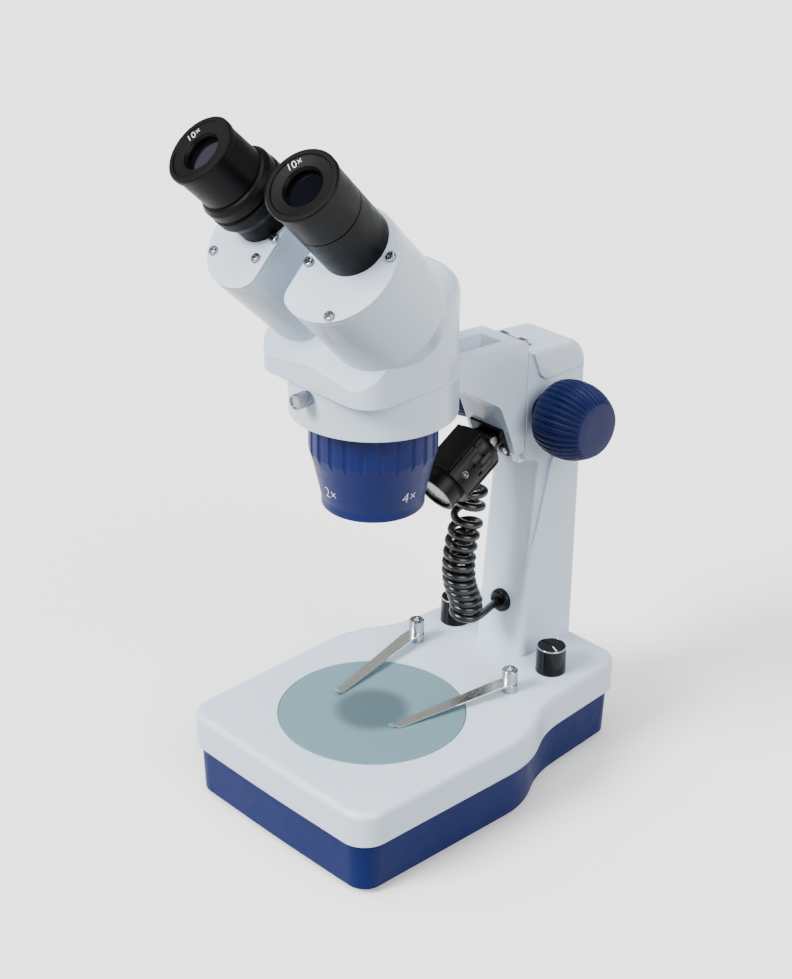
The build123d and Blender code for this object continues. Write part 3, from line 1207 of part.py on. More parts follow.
for name, side in SIDES.items():
    with BuildPart() as prism_housing:
        extrude(housing_face(side, 0), amount=HOUSING_LENGTH)
        extrude(housing_face(side, HOUSING_WALL, HOUSING_WALL), amount=HOUSING_LENGTH, mode=Mode.SUBTRACT)
        with BuildSketch(pivot_plane(side)):
            Circle(HUB_OUTER)
        extrude(amount=-HUB_LENGTH)
        with BuildSketch(pivot_plane(side, -HUB_LENGTH)):
            Circle(HUB_OUTER - HOUSING_WALL)
        extrude(amount=HUB_LENGTH, mode=Mode.SUBTRACT)
        with BuildSketch(pivot_plane(side)):
            Circle(BEAM_RADIUS)
        extrude(amount=HOUSING_WALL, mode=Mode.SUBTRACT)
        # posts in the corners take the cap screws
        with BuildSketch(pivot_plane(side, HOUSING_WALL)):
            with Locations(*[(side * u, v) for u, v in CAP_SCREWS[side]]):
                Circle(CAP_HEAD_RADIUS + 0.4)
        extrude(amount=HOUSING_LENGTH - HOUSING_WALL)
        extrude(housing_face(side, 0), amount=HOUSING_LENGTH, mode=Mode.INTERSECT)
        with BuildSketch(pivot_plane(side, HOUSING_LENGTH - 8)):
            with Locations(*[(side * u, v) for u, v in CAP_SCREWS[side]]):
                Circle(CAP_SCREW_RADIUS + THREAD_GAP)
        extrude(amount=FAR, mode=Mode.SUBTRACT)
    save(prism_housing, f"prism_housing_{name}")

    # two right-angle prisms, the lower one lying across the beam and the upper one along it
    with BuildPart() as prisms:
        low = pivot_plane(side, PRISM_LOW)
        low_end = low.from_local_coords((0, PRISM_WIDTH / 2, 0))
        with BuildSketch(Plane(origin=low_end, x_dir=low.x_dir, z_dir=-low.y_dir)):
            with BuildLine():
                Polyline((-PRISM_LOW_HALF, 0), (PRISM_LOW_HALF, 0), (0, PRISM_LOW_HALF), close=True)
            make_face()
        extrude(amount=PRISM_WIDTH)
        high = pivot_plane(side, PRISM_HIGH)
        high_end = high.from_local_coords((-PRISM_WIDTH / 2, 0, 0))
        with BuildSketch(Plane(origin=high_end, x_dir=high.y_dir, z_dir=high.x_dir)):
            with BuildLine():
                Polyline((-PRISM_HALF, 0), (PRISM_HALF, 0), (0, PRISM_HALF), close=True)
            make_face()
        extrude(amount=PRISM_WIDTH)
    save(prisms, f"prisms_{name}")

    with BuildPart() as cap_plate:
        extrude(housing_face(side, HOUSING_LENGTH, 0.2), amount=CAP_THICKNESS)
        with BuildSketch(pivot_plane(side, HOUSING_LENGTH)):
            with Locations(*[(side * u, v) for u, v in CAP_SCREWS[side]]):
                Circle(CAP_SCREW_RADIUS + THREAD_GAP)
            with Locations((side * TUBE_OUT, TUBE_UP)):
                Circle(INSERT_RADIUS + 2 + THREAD_GAP)
        extrude(amount=CAP_THICKNESS, mode=Mode.SUBTRACT)
    save(cap_plate, f"cap_plate_{name}")

    with BuildPart() as cap_screws:
        with BuildSketch(pivot_plane(side, HOUSING_LENGTH + CAP_THICKNESS)):
            with Locations(*[(side * u, v) for u, v in CAP_SCREWS[side]]):
                Circle(CAP_HEAD_RADIUS)
        extrude(amount=CAP_HEAD_HEIGHT)
        fillet(cap_screws.edges().filter_by(GeomType.CIRCLE).group_by(pivot_axis(side))[-1], 0.9)
        with BuildSketch(pivot_plane(side, HOUSING_LENGTH + CAP_THICKNESS + CAP_HEAD_HEIGHT)):
            with Locations(*[(side * u, v) for u, v in CAP_SCREWS[side]]):
                Rectangle(3.2, 0.7)
                Rectangle(0.7, 3.2)
        extrude(amount=-1, mode=Mode.SUBTRACT)
        with BuildSketch(pivot_plane(side, HOUSING_LENGTH - 7)):
            with Locations(*[(side * u, v) for u, v in CAP_SCREWS[side]]):
                Circle(CAP_SCREW_RADIUS)
        extrude(amount=CAP_THICKNESS + 7)
    save(cap_screws, f"cap_screws_{name}")

    # the eyepiece: a knurled rim, a body, and an insert that slides into the tube
    eyepiece = spin_on_tube(side, [
        (INSERT_RADIUS, TUBE_HEIGHT - INSERT_LENGTH), (INSERT_RADIUS, TUBE_HEIGHT), (TUBE_RADIUS - 0.8, TUBE_HEIGHT),
        (TUBE_RADIUS - 0.8, TUBE_HEIGHT + 0.7), (TUBE_RADIUS, TUBE_HEIGHT + 0.7),
        (TUBE_RADIUS, RIM_TOP - RIM_HEIGHT), (RIM_RADIUS, RIM_TOP - RIM_HEIGHT + 0.5), (RIM_RADIUS, RIM_TOP - 0.7),
        (RIM_RADIUS - 0.7, RIM_TOP), (RIM_RADIUS - 2.4, RIM_TOP), (RIM_RADIUS - 2.8, RIM_TOP - 0.8),
        (EYE_APERTURE + 1, RIM_TOP - 1.4), (EYE_APERTURE, RIM_TOP - 3), (EYE_APERTURE, RIM_TOP - 5),
        (LENS_RADIUS + 0.1, RIM_TOP - 5), (LENS_RADIUS + 0.1, TUBE_HEIGHT - INSERT_LENGTH),
    ])
    save(eyepiece, f"eyepiece_{name}")

    with BuildPart() as eyepiece_lenses:
        with BuildSketch(tube_plane(side, RIM_TOP - 10)):
            Circle(LENS_RADIUS)
        extrude(amount=5)
        with BuildSketch(tube_plane(side, TUBE_HEIGHT - INSERT_LENGTH + 2)):
            Circle(LENS_RADIUS)
        extrude(amount=3)
    save(eyepiece_lenses, f"eyepiece_lenses_{name}")

tube_right = spin_on_tube(1, [
    (INSERT_RADIUS + 2, -SPIGOT_LENGTH), (INSERT_RADIUS + 2, 0), (TUBE_RADIUS, 0), (TUBE_RADIUS, TUBE_HEIGHT),
    (TUBE_BORE, TUBE_HEIGHT), (TUBE_BORE, 3), (INSERT_RADIUS - 2, 3), (INSERT_RADIUS - 2, -SPIGOT_LENGTH),
])
save(tube_right, "eyepiece_tube_right")

# left side: a short tube, a sleeve that carries the eyepiece and slides in it, and the ring that drives it
SLEEVE_RADIUS = INSERT_RADIUS + 1.2
SLEEVE_LOW = 2.0 + DIOPTER_TRAVEL
LEFT_TUBE_TOP = DIOPTER_SPLIT - DIOPTER_TRAVEL - 0.5
tube_left = spin_on_tube(-1, [
    (INSERT_RADIUS + 2, -SPIGOT_LENGTH), (INSERT_RADIUS + 2, 0), (TUBE_RADIUS, 0), (TUBE_RADIUS, LEFT_TUBE_TOP),
    (SLEEVE_RADIUS + RUN_FIT, LEFT_TUBE_TOP), (SLEEVE_RADIUS + RUN_FIT, 1), (INSERT_RADIUS - 1, 1),
    (INSERT_RADIUS - 1, -SPIGOT_LENGTH),
])
save(tube_left, "eyepiece_tube_left")

diopter_sleeve = spin_on_tube(-1, [
    (TUBE_BORE, SLEEVE_LOW), (SLEEVE_RADIUS, SLEEVE_LOW), (SLEEVE_RADIUS, DIOPTER_SPLIT),
    (DIOPTER_RADIUS - 1.5, DIOPTER_SPLIT), (DIOPTER_RADIUS - 0.3, DIOPTER_SPLIT + 0.8),
    (DIOPTER_RADIUS - 0.3, TUBE_HEIGHT - 3), (DIOPTER_RADIUS - 1.6, TUBE_HEIGHT - 0.8),
    (DIOPTER_RADIUS - 3, TUBE_HEIGHT), (TUBE_BORE, TUBE_HEIGHT),
])
save(diopter_sleeve, "diopter_sleeve")

RING_BORE = TUBE_RADIUS + PASS_GAP
diopter_ring = spin_on_tube(-1, [
    (RING_BORE, DIOPTER_LOW), (RING_BORE, DIOPTER_SPLIT - PASS_GAP), (DIOPTER_RADIUS - 1.2, DIOPTER_SPLIT - PASS_GAP),
    (DIOPTER_RADIUS, DIOPTER_SPLIT - 1.2), (DIOPTER_RADIUS, DIOPTER_LOW + 3.5), (DIOPTER_RADIUS - 1.6, DIOPTER_LOW),
])
save(diopter_ring, "diopter_ring")
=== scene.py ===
from math import cos, pi, radians, sin

import bmesh
import bpy
from bpy.props import FloatProperty, IntProperty, PointerProperty, StringProperty
from mathutils import Matrix, Vector


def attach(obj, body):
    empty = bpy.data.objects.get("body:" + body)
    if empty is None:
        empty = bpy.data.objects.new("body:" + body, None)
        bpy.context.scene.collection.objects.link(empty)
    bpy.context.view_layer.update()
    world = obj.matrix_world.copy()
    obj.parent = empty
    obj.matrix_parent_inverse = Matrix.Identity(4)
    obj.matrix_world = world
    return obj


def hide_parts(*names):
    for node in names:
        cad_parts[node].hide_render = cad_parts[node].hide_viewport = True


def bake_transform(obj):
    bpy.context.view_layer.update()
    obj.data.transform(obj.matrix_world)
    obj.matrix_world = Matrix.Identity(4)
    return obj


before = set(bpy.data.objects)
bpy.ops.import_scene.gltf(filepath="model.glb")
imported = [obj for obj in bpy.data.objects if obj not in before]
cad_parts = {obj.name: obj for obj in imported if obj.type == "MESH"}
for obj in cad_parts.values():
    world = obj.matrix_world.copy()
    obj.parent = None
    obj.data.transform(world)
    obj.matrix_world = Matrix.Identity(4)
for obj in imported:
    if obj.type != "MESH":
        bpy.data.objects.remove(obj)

bl_info = {
    "name": "Stereo microscope",
    "version": (1, 0, 0),
    "blender": (4, 5, 0),
    "location": "View3D > Sidebar > Microscope",
    "description": "Dresses a stereo microscope's parts with finishes, ribs, figures and a curly cord",
    "category": "Object",
}

MM = 0.001
AXIS_Y = -25.0        # the optical axis of the head stands here, at x = 0
BASE_TOP = 49.0       # height of the base's flat top over the bench
# further sizes are in millimetres from that axis and that top, as the solids have them
SIDES = {"left": -1, "right": 1}
SHAFT_Y, FOCUS_Z = 101.0, 142.0
DIMMER_X, DIMMER_Y = 35.2, 95.1
RING_RADIUS, CLAMP_Z = 39.9, 185.0
RIBS_START, RIBS_END = 24.3, 52.0       # along a knob, from the middle of its shaft
LAMP_TILT, LAMP_REAR = 30.6, (72.7, 126.7)
TUBE_TILT, TOE_OUT = 45.0, 5.7
TUBE_FOOT = (28.089, -38.0, 265.373)
FIGURE_Z = 131.0      # height of the turret's figures
FIGURE_RING = 11.9    # radius at which the eyepiece's figure stands
FIGURE_SHARE = 0.7    # height of a figure over the size of its font
CONE_FOOT, CONE_RADIUS, CONE_SPREAD = 124.0, 24.8, 3.7 / 17.0   # the turret's printed cone, from its foot
RIM_FOOT, RIM_RADIUS, RIM_SLOPE = 46.6, 9.5, 0.6 / 4.7          # the eyepiece's face, from its aperture


def at(x, y, z):
    """A point in metres, given in millimetres from the optical axis and the top of the base."""
    return Vector((x, AXIS_Y + y, BASE_TOP + z)) * MM


# ---------------------------------------------------------------- colour and nodes

def linear(code):
    """A linear colour from an sRGB hex code."""
    shares = [int(code.lstrip("#")[i:i + 2], 16) / 255 for i in (0, 2, 4)]
    return [s / 12.92 if s <= 0.04045 else ((s + 0.055) / 1.055) ** 2.4 for s in shares] + [1.0]


def add(tree, kind, settings=(), links=()):
    """A node of one kind.

    settings are (socket or property, value), and links are (socket, (node, its output))."""
    new = tree.nodes.new(kind)
    for name, value in settings:
        if isinstance(name, str) and hasattr(new, name) and name not in new.inputs:
            setattr(new, name, value)
        else:
            new.inputs[name].default_value = value
    for name, (source, output) in links:
        tree.links.new(source.outputs[output], new.inputs[name])
    return new


def blank(name):
    """A new material with only its Principled shader, as (material, node tree, shader)."""
    made = bpy.data.materials.new(name)
    made.use_nodes = True
    return made, made.node_tree, made.node_tree.nodes["Principled BSDF"]


def link(tree, source, output, target, socket):
    tree.links.new(source.outputs[output], target.inputs[socket])


def place(tree):
    """Object coordinates: metres in the part's own frame."""
    return add(tree, "ShaderNodeTexCoord"), "Object"


def per_mm(size):
    """The texture scale whose grain is that many millimetres."""
    return 1000.0 / size


def uneven(tree, low, high, size):
    """A value that wanders between low and high over a number of millimetres."""
    cloud = add(tree, "ShaderNodeTexNoise", [("Scale", per_mm(size)), ("Detail", 2.0)],
                [("Vector", place(tree))])
    return add(tree, "ShaderNodeMapRange",
               [("From Min", 0.3), ("From Max", 0.7), ("To Min", low), ("To Max", high)],
               [("Value", (cloud, "Fac"))])


def grain_bump(tree, size, depth, edge=0.0):
    """A bump of one grain size and depth, over edges that look rounded to a radius, all in millimetres."""
    grain = add(tree, "ShaderNodeTexNoise", [("Scale", per_mm(size)), ("Detail", 2.0)],
                [("Vector", place(tree))])
    bump = add(tree, "ShaderNodeBump", [("Strength", 1.0), ("Distance", depth * MM)],
               [("Height", (grain, 0))])
    if edge:
        round_edge = add(tree, "ShaderNodeBevel", [("samples", 6), ("Radius", edge * MM)])
        link(tree, round_edge, 0, bump, "Normal")
    return bump


# ---------------------------------------------------------------- finishes

def sprayed_enamel(code):
    """Pearl-white enamel sprayed on a zinc casting: a soft gloss with the faint orange peel of a spray
    coat, over cast edges that are slightly round."""
    made, tree, shader = blank("sprayed_enamel")
    low = linear(code)
    deep = [c * 0.97 for c in low[:3]] + [1]
    two = add(tree, "ShaderNodeMix", [("data_type", "RGBA"), (6, low), (7, deep)],
              [(0, (uneven(tree, 0.0, 1.0, 30), 0))])
    link(tree, two, 2, shader, "Base Color")
    link(tree, uneven(tree, 0.28, 0.36, 9), 0, shader, "Roughness")
    link(tree, grain_bump(tree, 1.6, 0.008, 0.5), 0, shader, "Normal")
    shader.inputs["Coat Weight"].default_value = 0.2
    shader.inputs["Coat Roughness"].default_value = 0.2
    return made


def moulded_abs(name, code, rough, shine, grain=1.1, depth=0.008, edge=0.5):
    """Moulded ABS: a satin skin with a fine spark-eroded grain, a little lighter where hands polish it."""
    made, tree, shader = blank(name)
    low = linear(code)
    high = [min(1, c * 1.1) for c in low[:3]] + [1]
    two = add(tree, "ShaderNodeMix", [("data_type", "RGBA"), (6, low), (7, high)],
              [(0, (uneven(tree, 0.0, 1.0, 14), 0))])
    link(tree, two, 2, shader, "Base Color")
    shader.inputs["Specular IOR Level"].default_value = shine
    link(tree, uneven(tree, rough - 0.04, rough + 0.04, 6), 0, shader, "Roughness")
    link(tree, grain_bump(tree, grain, depth, edge), 0, shader, "Normal")
    return made


def anodised_black(name, code, rough, shine):
    """Black anodised aluminium, turned: satin, with soft streaks of light that run along the barrel."""
    made, tree, shader = blank(name)
    shader.inputs["Base Color"].default_value = linear(code)
    shader.inputs["Specular IOR Level"].default_value = shine
    link(tree, uneven(tree, rough - 0.04, rough + 0.05, 5), 0, shader, "Roughness")
    link(tree, grain_bump(tree, 0.9, 0.006, 0.4), 0, shader, "Normal")
    return made


def plated_chrome(name, code, rough=0.14):
    """Nickel-chrome plate on brass: a bright mirror with slight waves from buffing."""
    made, tree, shader = blank(name)
    shader.inputs["Base Color"].default_value = linear(code)
    shader.inputs["Metallic"].default_value = 1.0
    link(tree, uneven(tree, rough - 0.05, rough + 0.05, 3), 0, shader, "Roughness")
    link(tree, grain_bump(tree, 1.5, 0.01, 0.25), 0, shader, "Normal")
    return made


def rolled_steel(name, code, rough):
    """Rolled and polished stainless strip: long fine lines that soften the reflections along the leaf."""
    made, tree, shader = blank(name)
    shader.inputs["Base Color"].default_value = linear(code)
    shader.inputs["Metallic"].default_value = 1.0
    stretched = add(tree, "ShaderNodeMapping", [("Scale", (1.0, 0.06, 1.0))], [("Vector", place(tree))])
    lines = add(tree, "ShaderNodeTexNoise", [("Scale", per_mm(0.5)), ("Detail", 2.0)],
                [("Vector", (stretched, 0))])
    spread = add(tree, "ShaderNodeMapRange",
                 [("From Min", 0.3), ("From Max", 0.7), ("To Min", rough - 0.08), ("To Max", rough + 0.08)],
                 [("Value", (lines, "Fac"))])
    link(tree, spread, 0, shader, "Roughness")
    bump = add(tree, "ShaderNodeBump", [("Strength", 0.6), ("Distance", 0.01 * MM)],
               [("Height", (lines, "Fac"))])
    link(tree, bump, 0, shader, "Normal")
    return made


def milled_brass():
    """Milled brass rack: warm yellow metal with a cutter's faint marks."""
    made, tree, shader = blank("milled_brass")
    shader.inputs["Base Color"].default_value = linear("#B89A5A")
    shader.inputs["Metallic"].default_value = 1.0
    link(tree, uneven(tree, 0.25, 0.4, 2), 0, shader, "Roughness")
    return made


def ground_glass(code, dark):
    """Ground glass plate: the sand-blasted face scatters light, and a soft dark spot in the middle of its
    colour is a painted reflection of the dark objectives above it."""
    made, tree, shader = blank("ground_glass")
    # painted reflection: within a disc round the middle of the stage, the colour turns to a darker one that
    # stands in for the objectives mirrored in the glass
    where = add(tree, "ShaderNodeVectorMath", [("operation", "SUBTRACT"), (1, at(-1, 1, 0))],
                [(0, place(tree))])
    flat = add(tree, "ShaderNodeVectorMath", [("operation", "MULTIPLY"), (1, (1, 1, 0))], [(0, (where, 0))])
    far = add(tree, "ShaderNodeVectorMath", [("operation", "LENGTH")], [(0, (flat, 0))])
    spot = add(tree, "ShaderNodeMapRange",
               [("interpolation_type", "SMOOTHERSTEP"), ("From Min", 13 * MM), ("From Max", 24 * MM),
                ("To Min", 1.0), ("To Max", 0.0)],
               [("Value", (far, "Value"))])
    mix = add(tree, "ShaderNodeMix", [("data_type", "RGBA"), (6, linear(code)), (7, linear(dark))],
              [(0, (spot, 0))])
    link(tree, mix, 2, shader, "Base Color")
    shader.inputs["Specular IOR Level"].default_value = 0.35
    link(tree, uneven(tree, 0.45, 0.55, 8), 0, shader, "Roughness")
    link(tree, grain_bump(tree, 0.7, 0.008, 0.5), 0, shader, "Normal")
    return made


def coated_lens():
    """Crown glass with a blue-violet anti-reflection coating: nearly black inside, and violet where it
    catches a lamp."""
    made, _, shader = blank("coated_lens")
    shader.inputs["Base Color"].default_value = linear("#060609")
    shader.inputs["Specular IOR Level"].default_value = 0.2
    shader.inputs["Specular Tint"].default_value = linear("#8C88E8")
    shader.inputs["Roughness"].default_value = 0.06
    return made


def clear_glass():
    """Pressed lamp glass: clear, with a slight green in its thickness."""
    made, _, shader = blank("clear_glass")
    shader.inputs["Base Color"].default_value = linear("#E6EFEA")
    shader.inputs["Transmission Weight"].default_value = 0.85
    shader.inputs["Roughness"].default_value = 0.08
    return made


def spun_reflector():
    """Spun aluminium reflector, polished: a bright bowl with rings left by the spinning tool."""
    made, tree, shader = blank("spun_reflector")
    shader.inputs["Base Color"].default_value = linear("#D6D8DA")
    shader.inputs["Metallic"].default_value = 1.0
    link(tree, uneven(tree, 0.16, 0.3, 2.5), 0, shader, "Roughness")
    return made


def moulded_rubber():
    """Moulded rubber: matt, a little dusty in its grain."""
    made, tree, shader = blank("moulded_rubber")
    shader.inputs["Base Color"].default_value = linear("#151515")
    link(tree, uneven(tree, 0.65, 0.85, 4), 0, shader, "Roughness")
    link(tree, grain_bump(tree, 0.8, 0.03), 0, shader, "Normal")
    return made


def cord_sheath():
    """Extruded polyurethane sheath: smooth black with thin hard highlights along each turn."""
    made, tree, shader = blank("cord_sheath")
    shader.inputs["Base Color"].default_value = linear("#08080A")
    shader.inputs["Specular IOR Level"].default_value = 0.45
    link(tree, uneven(tree, 0.2, 0.3, 4), 0, shader, "Roughness")
    link(tree, grain_bump(tree, 1.2, 0.006), 0, shader, "Normal")
    return made


def printed_ink():
    """White screen-printed ink: flat, with tiny pinholes that dull it."""
    made, tree, shader = blank("printed_ink")
    shader.inputs["Base Color"].default_value = linear("#E8EAEC")
    link(tree, uneven(tree, 0.5, 0.65, 1.5), 0, shader, "Roughness")
    return made


FINISH = {}


def finish_of(name):
    """The finish with that name, made the first time it is asked for."""
    colours = bpy.context.scene.scope_colours
    makers = {
        "enamel": lambda: sprayed_enamel(colours.paint),
        "blue": lambda: moulded_abs("moulded_abs_blue", colours.plinth, 0.45, 0.08),
        "turret_blue": lambda: moulded_abs("moulded_abs_turret", colours.turret, 0.4, 0.14),
        "knob_blue": lambda: moulded_abs("moulded_abs_knob", colours.knobs, 0.36, 0.12),
        "black": lambda: moulded_abs("moulded_nylon_black", "#050506", 0.38, 0.15),
        "gloss_black": lambda: moulded_abs("moulded_phenolic_black", "#030304", 0.16, 0.18, 2.0, 0.003, 0.6),
        "anodised": lambda: anodised_black("anodised_black", "#030304", 0.42, 0.1),
        "chrome": lambda: plated_chrome("plated_chrome", "#A2A7AD"),
        "dark_chrome": lambda: plated_chrome("plated_chrome_knurled", "#8A8F97", 0.2),
        "leaf": lambda: rolled_steel("rolled_stainless", "#E2E0D8", 0.26),
        "steel": lambda: rolled_steel("ground_steel", "#9A9C9E", 0.32),
        "brass": milled_brass,
        "stage_glass": lambda: ground_glass(colours.stage, colours.stage_painted_reflection),
        "lens": coated_lens,
        "clear": clear_glass,
        "reflector": spun_reflector,
        "rubber": moulded_rubber,
        "sheath": cord_sheath,
        "ink": printed_ink,
    }
    if name not in FINISH:
        FINISH[name] = makers[name]()
    return FINISH[name]


def dress(name, *nodes):
    """Gives CAD nodes a finish, and shades their round faces smoothly."""
    for node in nodes:
        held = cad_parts[node]
        held.data.materials.clear()
        held.data.materials.append(finish_of(name))
        smooth(held.data, 28)


# ---------------------------------------------------------------- shapes

def placed(name, data):
    """A new object in the scene that shows a mesh, a light, a camera or a text."""
    made = bpy.data.objects.new(name, data)
    bpy.context.scene.collection.objects.link(made)
    return made


def meshed(name, grid):
    """A mesh out of a bmesh, which is freed."""
    mesh = bpy.data.meshes.new(name)
    grid.to_mesh(mesh)
    grid.free()
    return mesh


def piece(name, mesh, body, finish, *nodes):
    """Puts a mesh in the scene as a piece of a body, in place of CAD nodes if any are named."""
    made = placed(name, mesh)
    made.data.materials.append(finish_of(finish))
    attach(made, body)
    if nodes:
        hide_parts(*nodes)
    return made


def smooth(mesh, sharp):
    """Shades a mesh smoothly, but for edges that bend by more than sharp degrees."""
    mesh.shade_smooth()
    mesh.set_sharp_from_angle(angle=radians(sharp))
    return mesh


def axis_frame(origin, up, side=Vector((1, 0, 0))):
    """A matrix whose Z runs along up and whose X lies as near as it can to side."""
    z = up.normalized()
    x = (side - z * side.dot(z)).normalized()
    y = z.cross(x)
    turn = Matrix((x, y, z)).transposed().to_4x4()
    return Matrix.Translation(origin) @ turn


def tube_seat(side):
    """The frame at the foot of an eyepiece tube: Z up the tube, X outwards across it."""
    tilt, toe = radians(TUBE_TILT), radians(TOE_OUT)
    up = Vector((side * sin(toe), -cos(toe) * cos(tilt), cos(toe) * sin(tilt)))
    across = Vector((cos(toe), side * sin(toe) * cos(tilt), -side * sin(toe) * sin(tilt)))
    return axis_frame(at(side * TUBE_FOOT[0], TUBE_FOOT[1], TUBE_FOOT[2]), up, across)


def spun(name, points, seat, count, ribs=None):
    """A ring mesh from closed (radius, height) points in millimetres, spun round seat's Z.

    ribs, if given, is a function of (angle, radius, height) that returns the radius to use."""
    grid = bmesh.new()
    rings = []
    for i in range(count):
        angle = 2 * pi * i / count
        ring = []
        for radius, height in points:
            shown = ribs(angle, radius, height) if ribs else radius
            spot = Vector((shown * cos(angle), shown * sin(angle), height)) * MM
            ring.append(grid.verts.new(seat @ spot))
        rings.append(ring)
    for i in range(count):
        a, b = rings[i], rings[(i + 1) % count]
        for j in range(len(points)):
            k = (j + 1) % len(points)
            grid.faces.new((a[j], b[j], b[k], a[k]))
    bmesh.ops.remove_doubles(grid, verts=grid.verts, dist=1e-6)
    bmesh.ops.dissolve_degenerate(grid, dist=1e-7, edges=grid.edges)
    bmesh.ops.recalc_face_normals(grid, faces=grid.faces)
    return meshed(name, grid)


def rounded(points, radius, steps=3):
    """A closed outline with each corner cut by a small arc."""
    out = []
    count = len(points)
    for i, here in enumerate(points):
        here = Vector(here)
        before, after = Vector(points[i - 1]) - here, Vector(points[(i + 1) % count]) - here
        reach = min(radius, before.length * 0.45, after.length * 0.45)
        if reach < 1e-6:
            out.append(tuple(here))
            continue
        first, last = here + before.normalized() * reach, here + after.normalized() * reach
        for step in range(steps + 1):
            t = step / steps
            out.append(tuple(first * (1 - t) ** 2 + here * 2 * t * (1 - t) + last * t ** 2))
    return out


def block(name, seat, low, high):
    """A box mesh between two corners, in millimetres along the axes of seat."""
    grid = bmesh.new()
    bmesh.ops.create_cube(grid, size=1.0)
    size = [b - a for a, b in zip(low, high)]
    middle = [(a + b) / 2 for a, b in zip(low, high)]
    for vert in grid.verts:
        vert.co = seat @ (Vector([m + c * s for m, c, s in zip(middle, vert.co, size)]) * MM)
    return meshed(name, grid)


def joined(name, parts):
    """One mesh out of several."""
    grid = bmesh.new()
    for part in parts:
        grid.from_mesh(part)
        bpy.data.meshes.remove(part)
    return meshed(name, grid)


def figures(name, text, height, lay):
    """Printed figures: flat letters of a height in millimetres.

    Each point is laid in place by lay(across, up, out)."""
    curve = bpy.data.curves.new(name, "FONT")
    curve.body = text
    curve.align_x, curve.align_y = "CENTER", "CENTER"
    curve.size = height / FIGURE_SHARE
    curve.offset = -0.018 * curve.size      # thinner strokes than the font's
    curve.extrude = 0.03
    curve.resolution_u = 6
    held = placed(name, curve)
    bpy.context.view_layer.update()
    seen = held.evaluated_get(bpy.context.evaluated_depsgraph_get())
    mesh = bpy.data.meshes.new_from_object(seen)
    bpy.data.objects.remove(held)
    bpy.data.curves.remove(curve)
    mesh.name = name
    for vert in mesh.vertices:
        vert.co = lay(*vert.co) * MM
    return mesh


# ---------------------------------------------------------------- settings

class ScopeColours(bpy.types.PropertyGroup):
    paint: StringProperty(name="Paint", description="Enamel of the castings, an sRGB hex code",
                          default="#C3D1DF")
    plinth: StringProperty(name="Plinth", description="Plastic of the lower housing", default="#0D194A")
    turret: StringProperty(name="Turret", description="Plastic of the objective turret", default="#0D184C")
    knobs: StringProperty(name="Knobs", description="Plastic of the focus knobs", default="#0B1440")
    stage: StringProperty(name="Stage glass", description="Ground face of the stage plate", default="#627E86")
    # the darker colour of a painted reflection of the objectives, painted into the middle of the stage glass
    stage_painted_reflection: StringProperty(name="Stage centre", description="The lamp well seen through the glass",
                               default="#46585F")


class ScopeCord(bpy.types.PropertyGroup):
    wire: FloatProperty(name="Wire", description="Diameter of the lamp cord", default=4.2 * MM, unit="LENGTH")
    coil: FloatProperty(name="Coil", description="Outer diameter of the curly stretch",
                        default=17.6 * MM, unit="LENGTH")
    sides: IntProperty(name="Sides", description="Faces round the cord", default=14)


class ScopeGrips(bpy.types.PropertyGroup):
    knob_ribs: IntProperty(name="Knob ribs", description="Ribs round each focus knob", default=36)
    rib_depth: FloatProperty(name="Rib depth", description="Depth of the grooves between the ribs",
                             default=0.9 * MM, unit="LENGTH")
    knurls: IntProperty(name="Knurls", description="Straight knurls round the clamp screw", default=26)


# ---------------------------------------------------------------- cord

# the middle of each turn of the coil, top to bottom, as (y, z): stretched under the lamp, close at the foot
COIL_TURNS = [
    (67.8, 101.2), (66.4, 93.4), (64.8, 84.0), (62.8, 78.0), (61.3, 72.2), (60.5, 66.0), (60.2, 61.4),
    (60.5, 56.3), (61.2, 51.8), (62.4, 47.9), (64.2, 43.6), (66.2, 38.9), (66.6, 34.8), (66.6, 30.0),
]
TURN_START = 46.0       # the angle round the coil, in degrees, at which each of those is measured
GLAND = (67.5, 106.5)   # where the cord leaves the lamp
GROMMET = (94.0, 28.0)  # where it goes into the pillar
COIL_END = 12.92        # turns wound before the cord runs off to the pillar
JOIN = 1.0              # the turn at which the two lengths meet


LEAD_IN = -0.25         # the turn at which the lead from the lamp meets the coil
LEAD_STEPS, TURN_STEPS, TAIL_STEPS = 24, 30, 20   # points along the lead, each turn and the run to the pillar

CAMERA_AT = (603.45, -568.58, 541.91)
CAMERA_TURN, CAMERA_DIP, CAMERA_ROLL = 45.95, 26.69, 0.62   # degrees round, down and about the line of sight
CAMERA_LENS, CAMERA_SENSOR = 71.59, 36.0
FLOOR_REACH = 6.0                        # metres
STAGE_MIDDLE = Vector((0, 0, 0.17))      # metres
# even light from large, far softboxes: the main one in front and above, the others to fill.
# Each has a name, its azimuth, height and spread in degrees, and its power
SOFTBOXES = (
    ("main", -14, 38, 24, 6.2), ("top", -25, 78, 44, 2.4),
    ("right", 80, 34, 44, 3.0), ("left", -65, 30, 30, 0.4),
)


